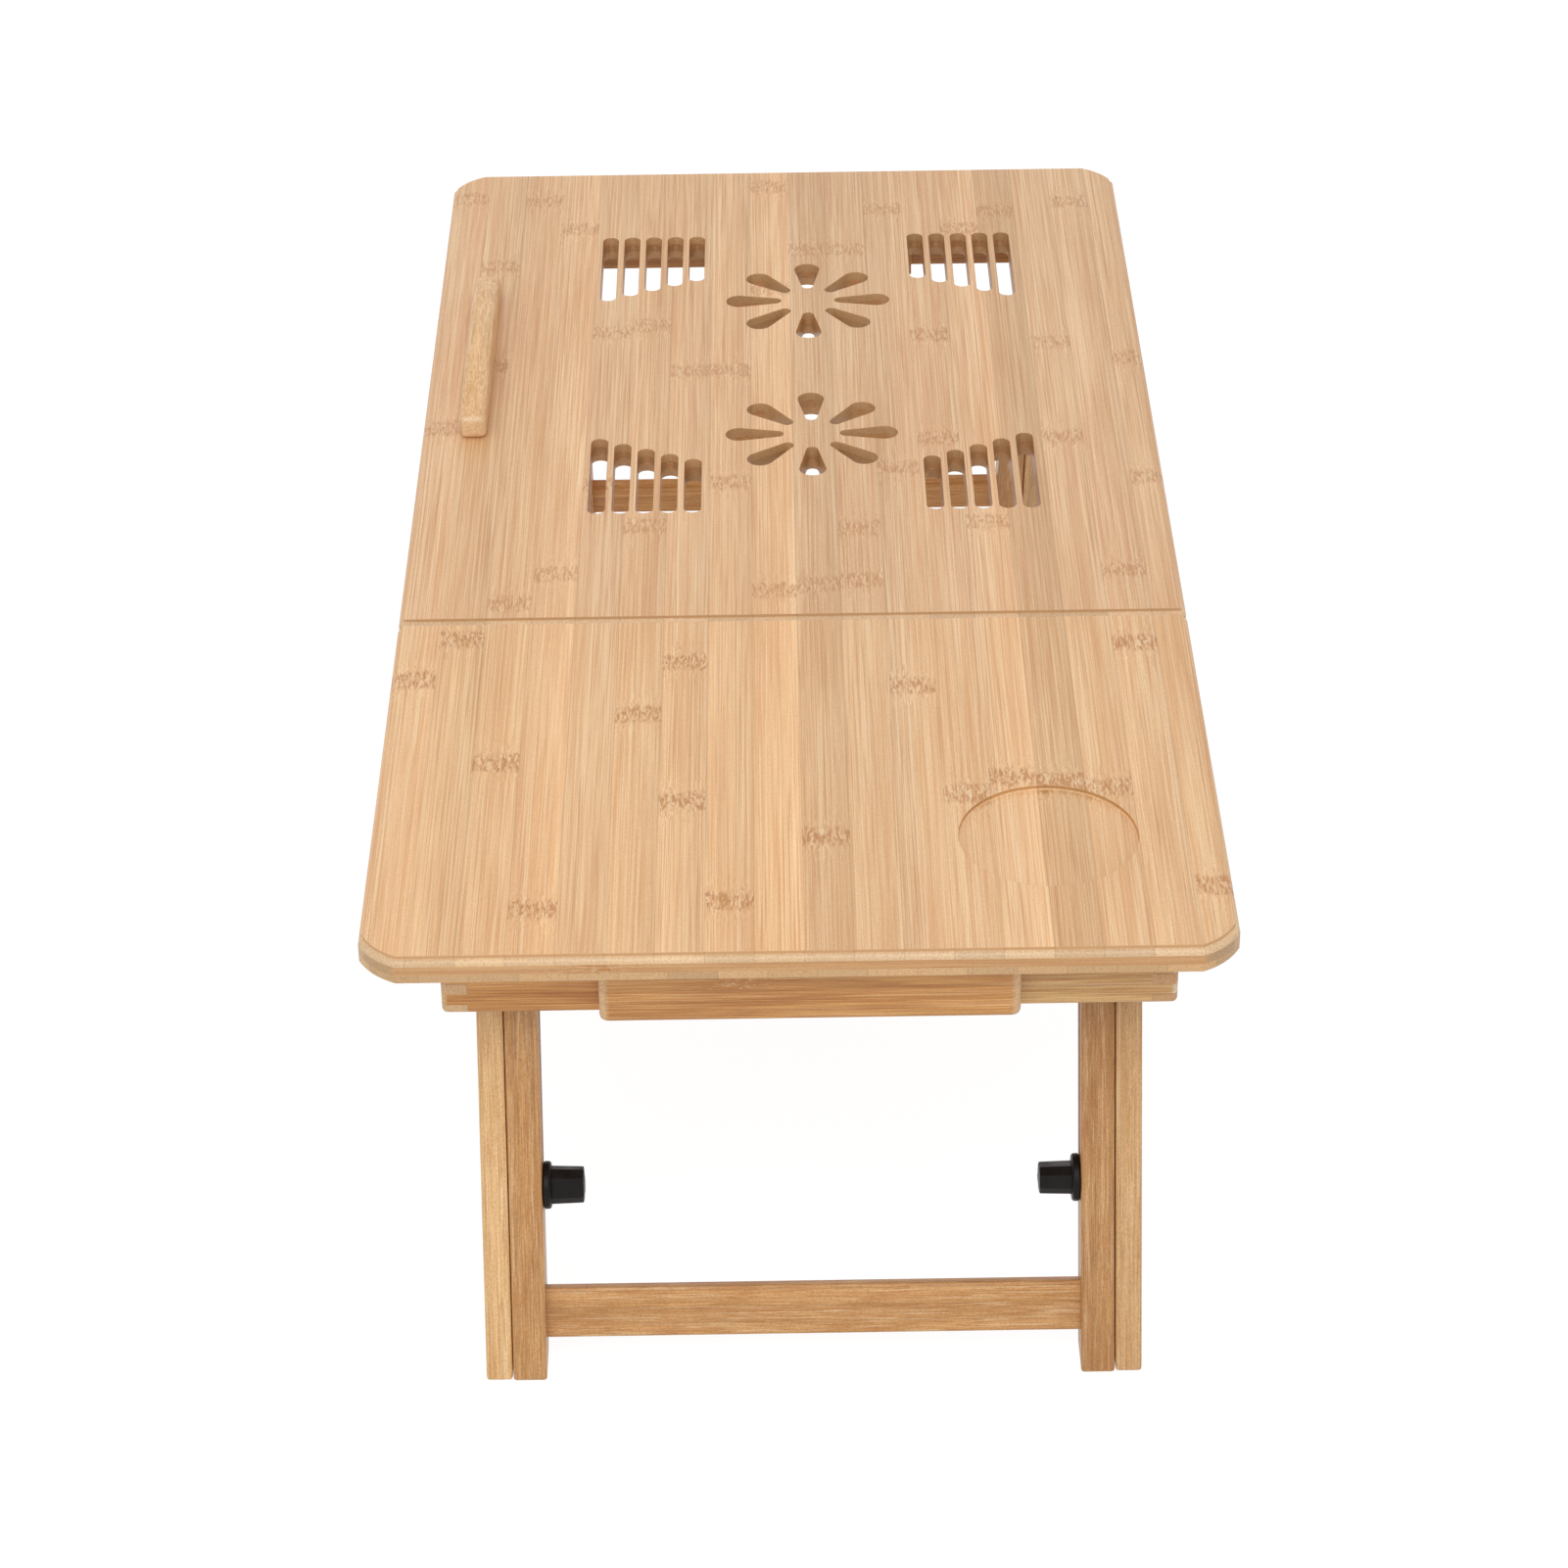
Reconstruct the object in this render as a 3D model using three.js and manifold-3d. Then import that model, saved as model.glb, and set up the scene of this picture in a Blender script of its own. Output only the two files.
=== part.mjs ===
// Folding laptop table in laminated bamboo: a fixed top with a drawer under it, a tilting panel with
// air vents, a finger-jointed frame, and two folding leg frames that grow longer.
// Millimetres, +Z up, the drawer end towards +X, the user's side towards -Y,
// the origin on the floor under the middle of the table.
import * as THREE from "three";
import { mergeVertices } from "three/addons/utils/BufferGeometryUtils.js";
import Module from "manifold-3d";

const wasm = await Module();
wasm.setup();

// Clearances
const fit = 0.3;
const overrun = 5;

// Table top: two boards with a stepped, rounded edge all round
const tableLength = 720;
const tableWidth = 350;
const tableHeight = 213;
const boardThickness = 12;
const fixedTopLength = 256.5;
const seamGap = 1;
const endCornerCut = 15.5;
const endCornerRadius = 32;
const seamCornerCut = 3;
const seamCornerRadius = 3;
const beadWidth = 2.2;
const beadDepth = 2.5;
const quirkDepth = 1.5;
const undersideEase = 0.6;

// Cup recess in the fixed top
const cupRadius = 36.8;
const cupDepth = 2;
const cupFillet = 1;
const cupFromDrawerEnd = 81.1;
const cupFromBackEdge = 72.2;

// Air vents in the tilting panel, measured from the middle of their pattern
const ventsFromFarEnd = 223.2;
const ventsFromFrontEdge = 186;
const flowerSpacing = 140;
const petalCount = 8;
const petalStart = 13.5;
const petalEnd = 41;
const petalWidth = 12.5;
const petalTipRadius = 2.8;
const slotCount = 5;
const slotWidth = 8;
const slotPitch = 11.15;
const firstSlotOffset = 56.3;
const slotReach = 144.6;
const shortestSlot = 51;
const slotGrowth = 5.25;

// Stop bar that keeps a laptop from sliding off the tilted panel
const stopLength = 152;
const stopWidth = 12.6;
const stopEndHeight = 11.5;
const stopCrestHeight = 17;
const stopEdgeRadius = 2;
const stopCornerRadius = 3;
const stopFromFarEnd = 218.4;
const stopFromFrontEdge = 24.8;

// Frame under the top
const frameSideInset = 27;
const frameShift = 4;
const frameEndInset = 20;
const railHeight = 29.5;
const railThickness = 10.5;
const frameCornerRadius = 3;
const frameBottomEase = 1.8;
const fingerHeight = 5;
const bottomFingerHeight = 4.5;
const middleRailThickness = 12;
const middleRailFromSeam = 31;

// Drawer, its runners and its opening
const drawerWidth = 156;
const drawerLength = 190;
const drawerBoxHeight = 22;
const drawerHeadroom = 1;
const drawerWall = 8;
const drawerBottomThickness = 3;
const drawerBottomLift = 2;
const drawerGroove = 3;
const drawerFrontWidth = 168.3;
const drawerFrontHeight = 25.8;
const drawerFrontThickness = 12;
const drawerFrontHeadroom = 0.5;
const drawerFrontRadius = 2.5;
const drawerFrontCorner = 3.5;
const runnerWall = 6;
const runnerLedge = 4;
const runnerLedgeReach = 7;

// Tilt hinges under the front overhang
const hingeLength = 45;
const hingeBarrelRadius = 2.5;
const hingePinRadius = 1.3;
const hingeLeafThickness = 1.5;
const fixedLeafHeight = 15;
const movingLeafWidth = 19;
const hingeFromPanelEnd = 140;
const hingeKnuckleShare = 0.3;

// Prop that holds the panel at a tilt, and the racks that it stands in
const propRodRadius = 2.5;
const propDrop = 5.2;
const propFromFrontEdge = 139;
const propArmLength = 96;
const propArmThickness = 10;
const propArmHeight = 9.4;
const propSideGap = 1.5;
const saddleLength = 12;
const saddleWidth = 16;
const saddleWall = 1.8;
const rackThickness = 12;
const rackNotches = 5;
const rackPitch = 7.2;
const rackToothDepth = 3;
const rackEndWall = 7;
const lastNotchFromAxle = 64.8;
const rodToRackGap = 0.7;

// Leg frames
const legSplay = THREE.MathUtils.degToRad(22);
const legDepth = 20;
const upperLegThickness = 11;
const lowerLegThickness = 14;
const legEdgeRadius = 1.2;
const legCornerRadius = 2;
const legPivotInset = 58.5;
const legPivotDrop = 14;
const upperFootLift = 1;
const legStopRadius = 3;
const legStopDrop = 14;
const legStopDepth = 5;
const lowerLegBelowPivot = 26.6;
const lowerLegSlotEndWall = 16;
const crossbarHeight = 21.6;
const crossbarThickness = 7;
const crossbarLift = 13.4;
const crossbarEdgeRadius = 1;

// Pivot rivets, clamp bolts and clamp knobs
const pivotRadius = 3;
const pivotHeadRadius = 6;
const pivotHeadHeight = 2.4;
const clampFromFoot = 79;
const clampBoltRadius = 3;
const clampHeadRadius = 6;
const clampHeadHeight = 2.5;
const knobFlangeRadius = 10;
const knobFlangeThickness = 3.2;
const knobGripLength = 14;
const knobGripWidth = 15.2;
const knobGripThickness = 12.2;
const knobGripChamfer = 3.3;
const knobEdgeRadius = 1.2;
const knobBoltReach = 12;
const knobBoreEnd = 2;

// Facets of round shapes
const cornerSteps = 5;
const beadSteps = 4;
const roundSteps = 16;
const cupSteps = 56;

// Places that follow from the sizes
const tableEnd = tableLength / 2;
const tableSide = tableWidth / 2;
const frameWidth = tableWidth - frameSideInset * 2;
const underside = tableHeight - boardThickness;
const seamX = tableEnd - fixedTopLength;
const panelEnd = seamX - seamGap;
const frameEnd = tableEnd - frameEndInset;
const frameSide = frameWidth / 2;
const frameFrontY = frameShift - frameSide;
const railBottom = underside - railHeight;
const railInside = frameSide - railThickness;
const apronInside = frameEnd - railThickness;
const drawerTop = underside - drawerHeadroom;
const drawerFloor = drawerTop - drawerBoxHeight;
const drawerHalf = drawerWidth / 2;
const drawerMouth = frameEnd + fit;
const middleRailX = seamX - middleRailFromSeam - middleRailThickness;
const hingeY = frameFrontY - hingeBarrelRadius - fit;
const hingeZ = underside - hingeBarrelRadius - fit;
const propY = propFromFrontEdge - tableSide;
const propZ = underside - propDrop;
const footY = propY + propArmLength;
const rackTop = propZ - propRodRadius - rodToRackGap;
const legPivotX = frameEnd - legPivotInset;
const legPivotZ = underside - legPivotDrop;
const legAxisLength = legPivotZ / Math.cos(legSplay);
const legExtension = legAxisLength - lowerLegBelowPivot - lowerLegSlotEndWall - clampFromFoot;
const upperLegOutside = railInside - fit;
const lowerLegOutside = upperLegOutside - upperLegThickness - fit;
const lowerLegInside = lowerLegOutside - lowerLegThickness;

// Materials
const bamboo = (color) => new THREE.MeshStandardMaterial({ color, roughness: 0.55, metalness: 0 });
const topBamboo = bamboo("#dcb68a");
const frameBamboo = bamboo("#c9975c");
const legBamboo = bamboo("#cf9f66");
const steel = new THREE.MeshStandardMaterial({ color: "#b9bcc0", roughness: 0.35, metalness: 1 });
const blackPlastic = new THREE.MeshStandardMaterial({ color: "#1b1b1d", roughness: 0.4, metalness: 0 });

const table = new THREE.Group();

function addPiece(parent, name, geometry, material) {
  const mesh = new THREE.Mesh(geometry, material);
  mesh.name = name;
  parent.add(mesh);
}

// Joining and cutting of closed shapes
function toSolid(geometry) {
  const bare = geometry.clone();
  bare.deleteAttribute("normal");
  bare.deleteAttribute("uv");
  const merged = mergeVertices(bare);
  const vertProperties = merged.attributes.position.array;
  const triVerts = new Uint32Array(merged.index.array);
  return new wasm.Manifold(new wasm.Mesh({ numProp: 3, vertProperties, triVerts }));
}

function toGeometry(solid) {
  const mesh = solid.getMesh();
  const indexed = new THREE.BufferGeometry();
  indexed.setAttribute("position", new THREE.BufferAttribute(mesh.vertProperties, 3));
  indexed.setIndex(Array.from(mesh.triVerts));
  const geometry = indexed.toNonIndexed();
  geometry.computeVertexNormals();
  return geometry;
}

function cut(body, tools) {
  return toGeometry(tools.reduce((solid, tool) => solid.subtract(toSolid(tool)), toSolid(body)));
}

function join(pieces) {
  return toGeometry(pieces.slice(1).reduce((solid, piece) => solid.add(toSolid(piece)), toSolid(pieces[0])));
}

function common(first, second) {
  return toGeometry(toSolid(first).intersect(toSolid(second)));
}

// A box between two corners
function block([x0, y0, z0], [x1, y1, z1]) {
  const box = new THREE.BoxGeometry(x1 - x0, y1 - y0, z1 - z0);
  return box.translate((x0 + x1) / 2, (y0 + y1) / 2, (z0 + z1) / 2);
}

// A round bar along Y, from y0 to y1
function barAlongY(radius, y0, y1, x = 0, z = 0) {
  const bar = new THREE.CylinderGeometry(radius, radius, y1 - y0, roundSteps);
  return bar.translate(x, (y0 + y1) / 2, z);
}

// A round bar along X, from x0 to x1
function barAlongX(radius, x0, x1, y = 0, z = 0) {
  const bar = new THREE.CylinderGeometry(radius, radius, x1 - x0, roundSteps).rotateZ(Math.PI / 2);
  return bar.translate((x0 + x1) / 2, y, z);
}

// A closed outline through the given corners, each [x, y, radius] rounded off
function roundedOutline(corners) {
  const shape = new THREE.Shape();
  corners.forEach(([x, y, radius], index) => {
    const corner = new THREE.Vector2(x, y);
    const [beforeX, beforeY] = corners[(index + corners.length - 1) % corners.length];
    const [afterX, afterY] = corners[(index + 1) % corners.length];
    const before = new THREE.Vector2(beforeX, beforeY).sub(corner).normalize();
    const after = new THREE.Vector2(afterX, afterY).sub(corner).normalize();
    const reach = radius / Math.tan(before.angleTo(after) / 2);
    const start = before.multiplyScalar(reach).add(corner);
    const end = after.multiplyScalar(reach).add(corner);
    if (index === 0) shape.moveTo(start.x, start.y);
    else shape.lineTo(start.x, start.y);
    if (radius > 0) shape.quadraticCurveTo(x, y, end.x, end.y);
  });
  shape.closePath();
  return shape;
}

// The outline pulled straight, with its rims rounded to the given radius, from z = 0 up
function slab(shape, thickness, rim, curveSegments = 3) {
  return new THREE.ExtrudeGeometry(shape, {
    depth: thickness - rim * 2,
    bevelEnabled: rim > 0,
    bevelThickness: rim,
    bevelSize: rim,
    bevelOffset: -rim,
    bevelSegments: 1,
    curveSegments,
  }).translate(0, 0, rim);
}

// A slab drawn in X and Z, standing between y0 and y1
function standingSlab(shape, y0, y1, rim, curveSegments) {
  return slab(shape, y1 - y0, rim, curveSegments).rotateX(Math.PI / 2).translate(0, y1, 0);
}

// A slab drawn in Y and Z, standing between x0 and x1
function crossSlab(shape, x0, x1, rim, curveSegments) {
  const upright = slab(shape, x1 - x0, rim, curveSegments).rotateX(Math.PI / 2).rotateZ(Math.PI / 2);
  return upright.translate(x0, 0, 0);
}

// A solid through rings of points, each ring anticlockwise seen from above, the lowest ring first
function loft(rings) {
  const positions = [];
  const face = (...corners) => corners.forEach((corner) => positions.push(...corner.toArray()));
  const bottom = rings[0];
  const top = rings[rings.length - 1];
  for (const [a, b, c] of THREE.ShapeUtils.triangulateShape(bottom, [])) {
    face(bottom[a], bottom[c], bottom[b]);
    face(top[a], top[b], top[c]);
  }
  for (let level = 1; level < rings.length; level += 1) {
    const lower = rings[level - 1];
    const upper = rings[level];
    lower.forEach((corner, index) => {
      const next = (index + 1) % lower.length;
      face(corner, lower[next], upper[next]);
      face(corner, upper[next], upper[index]);
    });
  }
  const geometry = new THREE.BufferGeometry();
  geometry.setAttribute("position", new THREE.Float32BufferAttribute(positions, 3));
  geometry.computeVertexNormals();
  return geometry;
}

// A corner rounded by an arc that meets both edges at the cut's distance from the sharp corner.
// A radius larger than the cut makes a flatter arc. The middle of the arc lies this far inside.
function cornerMiddle({ cut: reach, radius }) {
  return (reach + Math.sqrt(radius ** 2 * 2 - reach ** 2)) / 2;
}

const endCorner = { cut: endCornerCut, radius: endCornerRadius };
const seamCorner = { cut: seamCornerCut, radius: seamCornerRadius };

// A ring round a board from x0 to x1, inset all round, at height z
function boardRing(x0, x1, corner0, corner1, inset, z) {
  const corners = [
    [x1, tableSide, -1, -1, corner1],
    [x0, tableSide, 1, -1, corner0],
    [x0, -tableSide, 1, 1, corner0],
    [x1, -tableSide, -1, 1, corner1],
  ];
  return corners.flatMap(([x, y, inX, inY, corner], quarter) => {
    const middle = cornerMiddle(corner);
    const reach = corner.radius - inset;
    const start = Math.acos(Math.min(1, (middle - inset) / reach));
    return Array.from({ length: cornerSteps + 1 }, (_, step) => {
      const turn = start + (step / cornerSteps) * (Math.PI / 2 - start * 2);
      const angle = (quarter * Math.PI) / 2 + turn;
      return new THREE.Vector3(
        x + inX * middle + reach * Math.cos(angle),
        y + inY * middle + reach * Math.sin(angle),
        z,
      );
    });
  });
}

// A board of the table top: eased underside, rounded bead, and a small step up to the top face
function board(x0, x1, corner0, corner1) {
  const beadBottom = tableHeight - quirkDepth - beadDepth;
  const levels = [
    [undersideEase, underside],
    [0, underside + undersideEase],
  ];
  for (let step = 0; step <= beadSteps; step += 1) {
    const angle = ((step / beadSteps) * Math.PI) / 2;
    levels.push([beadWidth * (1 - Math.cos(angle)), beadBottom + beadDepth * Math.sin(angle)]);
  }
  levels.push([beadWidth, tableHeight]);
  return loft(levels.map(([inset, z]) => boardRing(x0, x1, corner0, corner1, inset, z)));
}

// Fixed top with its cup recess
function fixedTop() {
  const floorEdge = cupRadius - cupFillet;
  const profile = [new THREE.Vector2(0, -cupDepth), new THREE.Vector2(floorEdge, -cupDepth)];
  for (let step = 1; step <= beadSteps; step += 1) {
    const angle = ((step / beadSteps) * Math.PI) / 2;
    const x = floorEdge + cupFillet * Math.sin(angle);
    profile.push(new THREE.Vector2(x, cupFillet - cupDepth - cupFillet * Math.cos(angle)));
  }
  profile.push(new THREE.Vector2(cupRadius, overrun), new THREE.Vector2(0, overrun));
  const recess = new THREE.LatheGeometry(profile, cupSteps).rotateX(Math.PI / 2);
  recess.translate(tableEnd - cupFromDrawerEnd, tableSide - cupFromBackEdge, tableHeight);
  return cut(board(seamX, tableEnd, seamCorner, endCorner), [recess]);
}

// A cutter through the whole board, drawn in plan
function throughBoard(shape) {
  const cutter = slab(shape, boardThickness + overrun * 2, 0, cornerSteps);
  return cutter.translate(0, 0, underside - overrun);
}

// One petal, a drop with its point towards the middle of the flower
function petal() {
  const bulbRadius = petalWidth / 2;
  const bulbX = petalEnd - bulbRadius;
  const tipX = petalStart + petalTipRadius;
  const turn = Math.acos((bulbRadius - petalTipRadius) / (bulbX - tipX));
  const shape = new THREE.Shape();
  shape.absarc(bulbX, 0, bulbRadius, -turn, turn, false);
  shape.absarc(tipX, 0, petalTipRadius, turn, Math.PI * 2 - turn, false);
  return shape;
}

// One slot along X, with round ends
function slot(length) {
  const radius = slotWidth / 2;
  const shape = new THREE.Shape();
  shape.absarc(length - radius, 0, radius, -Math.PI / 2, Math.PI / 2, false);
  shape.absarc(radius, 0, radius, Math.PI / 2, (Math.PI * 3) / 2, false);
  return shape;
}

// Tilting panel with two flowers of petals and four groups of slots
function tiltPanel() {
  const ventsX = ventsFromFarEnd - tableEnd;
  const ventsY = ventsFromFrontEdge - tableSide;
  const cutters = [];
  for (const end of [-1, 1]) {
    for (let index = 0; index < petalCount; index += 1) {
      const cutter = throughBoard(petal()).rotateZ((index / petalCount) * Math.PI * 2);
      cutters.push(cutter.translate(ventsX + (end * flowerSpacing) / 2, ventsY, 0));
    }
    for (const side of [-1, 1]) {
      for (let index = 0; index < slotCount; index += 1) {
        const cutter = throughBoard(slot(shortestSlot + slotGrowth * index)).translate(-slotReach, 0, 0);
        if (end > 0) cutter.rotateZ(Math.PI);
        cutters.push(cutter.translate(ventsX, ventsY + side * (firstSlotOffset + slotPitch * index), 0));
      }
    }
  }
  return cut(board(-tableEnd, panelEnd, endCorner, seamCorner), cutters);
}

// Stop bar, arched along its top
function stopBar() {
  const half = stopLength / 2;
  const shape = new THREE.Shape();
  shape.moveTo(-half, 0);
  shape.lineTo(half, 0);
  shape.lineTo(half, stopEndHeight - stopCornerRadius);
  shape.quadraticCurveTo(half, stopEndHeight, half - stopCornerRadius, stopEndHeight);
  shape.quadraticCurveTo(0, stopCrestHeight * 2 - stopEndHeight, stopCornerRadius - half, stopEndHeight);
  shape.quadraticCurveTo(-half, stopEndHeight, -half, stopEndHeight - stopCornerRadius);
  const centreY = stopFromFrontEdge - tableSide;
  const bar = standingSlab(shape, centreY - stopWidth / 2, centreY + stopWidth / 2, stopEdgeRadius, 8);
  return bar.translate(stopFromFarEnd - tableEnd, 0, tableHeight);
}

// Frame: the space inside its rounded outside, taller than the rails so that only the foot is eased
function frameEnvelope() {
  const corners = [
    [frameEnd, frameSide, frameCornerRadius],
    [-frameEnd, frameSide, frameCornerRadius],
    [-frameEnd, -frameSide, frameCornerRadius],
    [frameEnd, -frameSide, frameCornerRadius],
  ];
  return slab(roundedOutline(corners), railHeight + overrun, frameBottomEase).translate(0, frameShift, railBottom);
}

// Heights between which the end boards' fingers pass through the side rails
function endFingers() {
  const lowest = railBottom + bottomFingerHeight;
  return [
    [lowest, lowest + fingerHeight],
    [lowest + fingerHeight * 2, lowest + fingerHeight * 3],
  ];
}

// The fingers of one end board, as wide as a side rail is thick
function fingerBlocks(end, side) {
  const outerX = end * (frameEnd + overrun);
  const innerX = end * apronInside;
  const outerY = frameShift + side * (frameSide + overrun);
  const innerY = frameShift + side * railInside;
  return endFingers().map(([low, high]) =>
    block(
      [Math.min(outerX, innerX), Math.min(outerY, innerY), low],
      [Math.max(outerX, innerX), Math.max(outerY, innerY), high],
    ),
  );
}

// Middle of the dowel that a leg leans against when it is open
function legStopPlace(end) {
  const out = legDepth / 2 + legStopRadius + fit;
  const x = legPivotX + out * Math.cos(legSplay) + legStopDrop * Math.sin(legSplay);
  return [end * x, legPivotZ + out * Math.sin(legSplay) - legStopDrop * Math.cos(legSplay)];
}

function sideRail(side) {
  const outer = frameShift + side * frameSide;
  const inner = frameShift + side * railInside;
  const low = Math.min(outer, inner);
  const high = Math.max(outer, inner);
  const rail = common(block([-frameEnd, low, railBottom], [frameEnd, high, underside]), frameEnvelope());
  const pivotHoles = [-1, 1].map((end) =>
    barAlongY(pivotRadius + fit, low - overrun, high + overrun, end * legPivotX, legPivotZ),
  );
  const socketBottom = frameShift + side * (railInside + legStopDepth + fit);
  const mouth = frameShift + side * (railInside - overrun);
  const stopHoles = [-1, 1].map((end) =>
    barAlongY(
      legStopRadius + fit,
      Math.min(socketBottom, mouth),
      Math.max(socketBottom, mouth),
      ...legStopPlace(end),
    ),
  );
  const fingers = [-1, 1].flatMap((end) => fingerBlocks(end, side));
  return cut(rail, [...fingers, ...pivotHoles, ...stopHoles]);
}

// A dowel in a side rail that stops the upper leg
function legStop(end, side) {
  const seated = frameShift + side * (railInside + legStopDepth);
  const tip = frameShift + side * (upperLegOutside - upperLegThickness);
  return barAlongY(legStopRadius, Math.min(seated, tip), Math.max(seated, tip), ...legStopPlace(end));
}

// An end board from y0 to y1 with fingers at the given sides
function endBoard(end, y0, y1, sides) {
  const x0 = Math.min(end * frameEnd, end * apronInside);
  const x1 = Math.max(end * frameEnd, end * apronInside);
  const pieces = [block([x0, y0, railBottom], [x1, y1, underside])];
  sides.forEach((side) => pieces.push(...fingerBlocks(end, side)));
  return common(join(pieces), frameEnvelope());
}

// Drawer runner: a wall under the top with a ledge that the drawer's side slides on
function drawerRunner(side) {
  const wallInside = drawerHalf + fit;
  const wallOutside = wallInside + runnerWall;
  const ledgeInside = wallInside - runnerLedgeReach;
  const ledgeTop = drawerFloor - fit;
  const backX = apronInside - drawerLength;
  const spanY = (a, b) => [frameShift + Math.min(side * a, side * b), frameShift + Math.max(side * a, side * b)];
  const [wall0, wall1] = spanY(wallInside, wallOutside);
  const [ledge0, ledge1] = spanY(ledgeInside, wallOutside);
  return join([
    block([backX, wall0, ledgeTop - runnerLedge], [apronInside, wall1, underside]),
    block([backX, ledge0, ledgeTop - runnerLedge], [apronInside, ledge1, ledgeTop]),
  ]);
}

// Drawer box: sides and back grooved round a thin bottom, and a front that laps over the frame
function drawerPieces() {
  const backX = drawerMouth - drawerLength;
  const insideHalf = drawerHalf - drawerWall;
  const bottomLow = drawerFloor + drawerBottomLift;
  const bottomHigh = bottomLow + drawerBottomThickness;
  const grooveHalf = insideHalf + drawerGroove;
  const grooveBackX = backX + drawerWall - drawerGroove;
  const groove = block(
    [grooveBackX - fit, frameShift - grooveHalf - fit, bottomLow - fit],
    [drawerMouth + overrun, frameShift + grooveHalf + fit, bottomHigh + fit],
  );
  for (const [name, side] of [["front", -1], ["back", 1]]) {
    const low = frameShift + Math.min(side * drawerHalf, side * insideHalf);
    const wall = block([backX, low, drawerFloor], [drawerMouth, low + drawerWall, drawerTop]);
    addPiece(table, `drawer_side_${name}`, cut(wall, [groove]), frameBamboo);
  }
  const end = block(
    [backX, frameShift - insideHalf, drawerFloor],
    [backX + drawerWall, frameShift + insideHalf, drawerTop],
  );
  addPiece(table, "drawer_end", cut(end, [groove]), frameBamboo);
  const bottom = block(
    [grooveBackX, frameShift - grooveHalf, bottomLow],
    [drawerMouth, frameShift + grooveHalf, bottomHigh],
  );
  addPiece(table, "drawer_bottom", bottom, frameBamboo);
  const half = drawerFrontWidth / 2;
  const frontTop = underside - drawerFrontHeadroom;
  const outline = roundedOutline([
    [-half, frontTop - drawerFrontHeight, drawerFrontCorner],
    [half, frontTop - drawerFrontHeight, drawerFrontCorner],
    [half, frontTop, drawerFrontCorner],
    [-half, frontTop, drawerFrontCorner],
  ]);
  const front = crossSlab(outline, drawerMouth, drawerMouth + drawerFrontThickness, drawerFrontRadius);
  addPiece(table, "drawer_front", front.translate(0, frameShift, 0), frameBamboo);
}

// Tilt hinge: the fixed leaf on the frame has the two outer knuckles, the panel's leaf the middle one
function tiltHinge(suffix, centreX) {
  const half = hingeLength / 2;
  const knuckle = hingeLength * hingeKnuckleShare;
  const bore = barAlongX(hingePinRadius + fit, centreX - half - overrun, centreX + half + overrun, hingeY, hingeZ);
  const outer = [-half, half - knuckle].map((start) =>
    barAlongX(hingeBarrelRadius, centreX + start, centreX + start + knuckle, hingeY, hingeZ),
  );
  const middle = barAlongX(
    hingeBarrelRadius,
    centreX - half + knuckle + fit,
    centreX + half - knuckle - fit,
    hingeY,
    hingeZ,
  );
  const fixedLeaf = block(
    [centreX - half, frameFrontY - hingeLeafThickness, hingeZ - fixedLeafHeight],
    [centreX + half, frameFrontY, hingeZ],
  );
  const fixedRelief = block(
    [centreX - half + knuckle, hingeY - hingeBarrelRadius, hingeZ - hingeBarrelRadius - fit],
    [centreX + half - knuckle, frameFrontY + overrun, underside],
  );
  const movingLeaf = block(
    [centreX - half, hingeY - movingLeafWidth, underside - hingeLeafThickness],
    [centreX + half, hingeY, underside],
  );
  const movingReliefs = [-half - overrun, half - knuckle - fit].map((start) =>
    block(
      [centreX + start, hingeY - hingeBarrelRadius - fit, hingeZ - hingeBarrelRadius],
      [centreX + start + knuckle + fit + overrun, frameFrontY, underside + overrun],
    ),
  );
  const fixed = join([toGeometry(toSolid(fixedLeaf).subtract(toSolid(fixedRelief))), ...outer]);
  const moving = join([cut(movingLeaf, movingReliefs), middle]);
  addPiece(table, `hinge_fixed_leaf_${suffix}`, cut(fixed, [bore]), steel);
  addPiece(table, `hinge_moving_leaf_${suffix}`, cut(moving, [bore]), steel);
  const pin = barAlongX(hingePinRadius, centreX - half, centreX + half, hingeY, hingeZ);
  addPiece(table, `hinge_pin_${suffix}`, pin, steel);
}

// Rack: a block with sloped notches that stop the prop's rod from sliding back
function tiltRack(x0) {
  const lastY = propY + lastNotchFromAxle;
  const wallY = (index) => lastY + rackPitch * index + propRodRadius;
  const shape = new THREE.Shape();
  shape.moveTo(lastY - rackEndWall, railBottom);
  shape.lineTo(wallY(rackNotches - 1) + rackEndWall, railBottom);
  shape.lineTo(wallY(rackNotches - 1) + rackEndWall, rackTop);
  for (let index = rackNotches - 1; index >= 0; index -= 1) {
    shape.lineTo(wallY(index), rackTop);
    shape.lineTo(wallY(index), rackTop - rackToothDepth);
    shape.lineTo(wallY(index) - propRodRadius * 2, rackTop - rackToothDepth);
  }
  shape.lineTo(lastY - rackEndWall, rackTop);
  return crossSlab(shape, x0, x0 + rackThickness, 0);
}

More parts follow.
